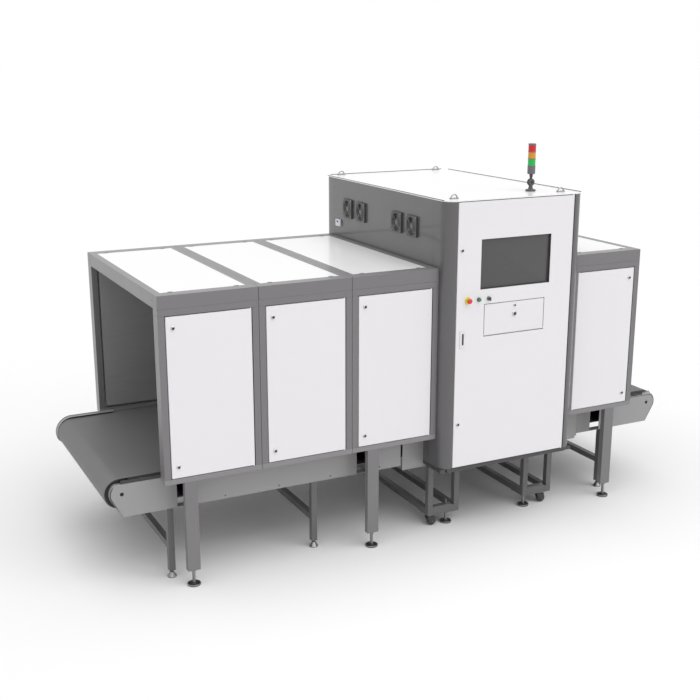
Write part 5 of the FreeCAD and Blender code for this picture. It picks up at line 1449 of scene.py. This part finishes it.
FRAME_FINISHES: tuple[tuple[Finish, tuple[str, ...]], ...] = (
    (PAINT_FRAME, ("tunnel_posts", "tunnel_sills", "tunnel_headers", "tunnel_cross_beams", "tunnel_legs",
                   "keyboard_tray")),
    (PAINT_ROOF, ("tunnel_roof_panels", "cabinet_roof")),
    (SHEET_LINING, ("tunnel_side_linings", "tunnel_ceilings")),
    (PAINT_PANEL, ("back_access_panels", "cabinet_back_panel", "cabinet_door", "keyboard_flap", *SIDE_PANELS)),
    (CHROME, ("levelling_feet", "button_collars", *LOCK_NODES)),
    (PAINT_CONVEYOR, ("conveyor_side_plates",)),
    (RUBBER_BELT, ("belt",)),
    (STEEL, ("end_drums", "lifting_eyes", "key_switch")),
    (BED_STEEL_AND_SHADE, ("slider_bed",)),
    (PAINT_STAND, ("conveyor_legs", "conveyor_crossbars", "stand_posts", "stand_side_rails", "stand_cross_bars",
                   "base_frame")),
    (PLASTIC_DARK, ("back_casters", "side_fans", "tower_base", "left_caster_fork", "right_caster_fork",
                    "tower_stem", "tower_cap")),
    (RUBBER_TREAD, ("left_caster_wheel", "right_caster_wheel")),
    (PAINT_WALL, ("corner_columns", "cabinet_side_walls")),
    (PLASTIC_WHITE, ("side_sensor",)),
    (GLASS_SCREEN, ("monitor_screen",)),
    (PLASTIC_HANDLE, ("door_handle",)),
    (PLASTIC_YELLOW, ("estop_collar",)),
    (PLASTIC_RED, ("estop_button",)),
    (PLASTIC_GREEN, ("start_button",)),
    (LENS_RED, ("tower_red_lamp",)),
    (LENS_AMBER, ("tower_amber_lamp",)),
    (LENS_GREEN, ("tower_green_lamp",)),
)
# Welded and folded parts whose plain solids have knife edges: finish, rounding in millimetres, nodes
EASED: tuple[tuple[Finish, float, tuple[str, ...]], ...] = (
    (PAINT_FRAME, 1.5, ("tunnel_posts", "tunnel_headers", "tunnel_cross_beams", "tunnel_legs")),
    # The sills' lighter copy of the frame paint is painted bounce light.
    (PAINT_SILL_BOUNCE_LIT, 1.5, ("tunnel_sills",)),
    (PAINT_STAND, 1.5, ("stand_posts", "stand_side_rails", "stand_cross_bars", "conveyor_legs",
                        "conveyor_crossbars")),
    (PAINT_BASE, 1.5, ("base_frame",)),
    (PAINT_WALL, 1.2, ("corner_columns",)),
    (PAINT_PANEL, 0.8, ("keyboard_flap",)),
    (PAINT_PANEL, 1.0, ("cabinet_door", *SIDE_PANELS)),
)


@dataclass
class Studio:
    """Pale floor, soft light and the camera at the photograph's angle."""

    floor_reach: float = 300.0
    floor_seen: float = 0.93
    floor_bounce: float = 0.88
    camera_place: tuple[float, float, float] = (-3.484, -6.611, 3.109)
    camera_tilt: float = 74.949
    camera_heading: float = -26.620
    lens: float = 56.275
    sky: float = 0.42
    suns: tuple[tuple[tuple[float, float, float], float, float], ...] = (
        ((0.35, -0.65, 0.62), 0.95, 60.0), ((-0.10, -0.10, 1.0), 1.50, 80.0))

    def build(self) -> None:
        """Makes everything that isn't part of the object."""
        self.make_floor()
        self.make_sky()
        self.make_suns()
        self.make_camera()

    def make_floor(self) -> None:
        """A wide floor, white for the camera and in reflections, that keeps the object's shadow."""
        mesh = bpy.data.meshes.new("studio_floor")
        reach = self.floor_reach
        mesh.from_pydata([(-reach, -reach, 0), (reach, -reach, 0), (reach, reach, 0), (-reach, reach, 0)], [],
                         [(0, 1, 2, 3)])
        floor = bpy.data.objects.new("studio_floor", mesh)
        bpy.context.scene.collection.objects.link(floor)
        r = Recipe(bpy.data.materials.new("floor_paper"))
        fibre = r.noise(3.0, 2) * 0.01
        seen, bounce = (r.signal("ShaderNodeBsdfDiffuse", {}, {"Color": r.tint(fibre, (share,) * 3, (1, 1, 1))})
                        for share in (self.floor_seen, self.floor_bounce))
        shader = r.signal("ShaderNodeMixShader", {}, {0: r.seen(), 1: bounce, 2: seen})
        r.node("ShaderNodeOutputMaterial", {}, {"Surface": shader})
        mesh.materials.append(r.owner)

    def make_sky(self) -> None:
        """An even white surround: strength 1 where it is seen, less as light."""
        world = bpy.data.worlds.new("studio")
        bpy.context.scene.world = world
        r = Recipe(world)
        paper = r.signal("ShaderNodeBackground", {}, {
            "Color": (1, 1, 1, 1), "Strength": r.seen() * (1 - self.sky) + self.sky})
        r.node("ShaderNodeOutputWorld", {}, {"Surface": paper})

    def make_suns(self) -> None:
        """Wide soft lights: one from the front right, one from nearly overhead."""
        for number, (way, strength, spread) in enumerate(self.suns):
            light = bpy.data.lights.new(f"soft_light_{number}", "SUN")
            light.energy, light.angle = strength, math.radians(spread)
            lamp = bpy.data.objects.new(light.name, light)
            lamp.rotation_euler = Vector(way).to_track_quat("Z", "Y").to_euler()
            bpy.context.scene.collection.objects.link(lamp)

    def make_camera(self) -> None:
        """The camera where the photograph was taken from."""
        data = bpy.data.cameras.new("camera")
        data.lens = self.lens
        data.sensor_width = 36.0
        data.clip_start, data.clip_end = 0.05, 900.0
        camera = bpy.data.objects.new("camera", data)
        camera.location = self.camera_place
        camera.rotation_euler = (math.radians(self.camera_tilt), 0, math.radians(self.camera_heading))
        bpy.context.scene.collection.objects.link(camera)
        bpy.context.scene.camera = camera


def main() -> None:
    """Builds the scene in order and reports each piece."""
    logging.basicConfig(level=logging.INFO, format="%(message)s")
    bpy.context.scene.view_settings.view_transform = "Standard"
    Studio().build()
    LOG.info("studio")
    for finish, nodes in FRAME_FINISHES:
        SHOP.dress(finish, *nodes)
    LOG.info("finishes")
    for finish, bevel, nodes in EASED:
        for node in nodes:
            softened(node, finish, bevel)
    for part in (Locks(), DoorFittings(), Monitor(), Fans(), Sensor(), SignalTower(), LiftingEyes(), Feet(),
                 Casters(), TunnelTrim(), Conveyor(), CabinetTrim()):
        part.build()


if __name__ == "__main__":
    main()
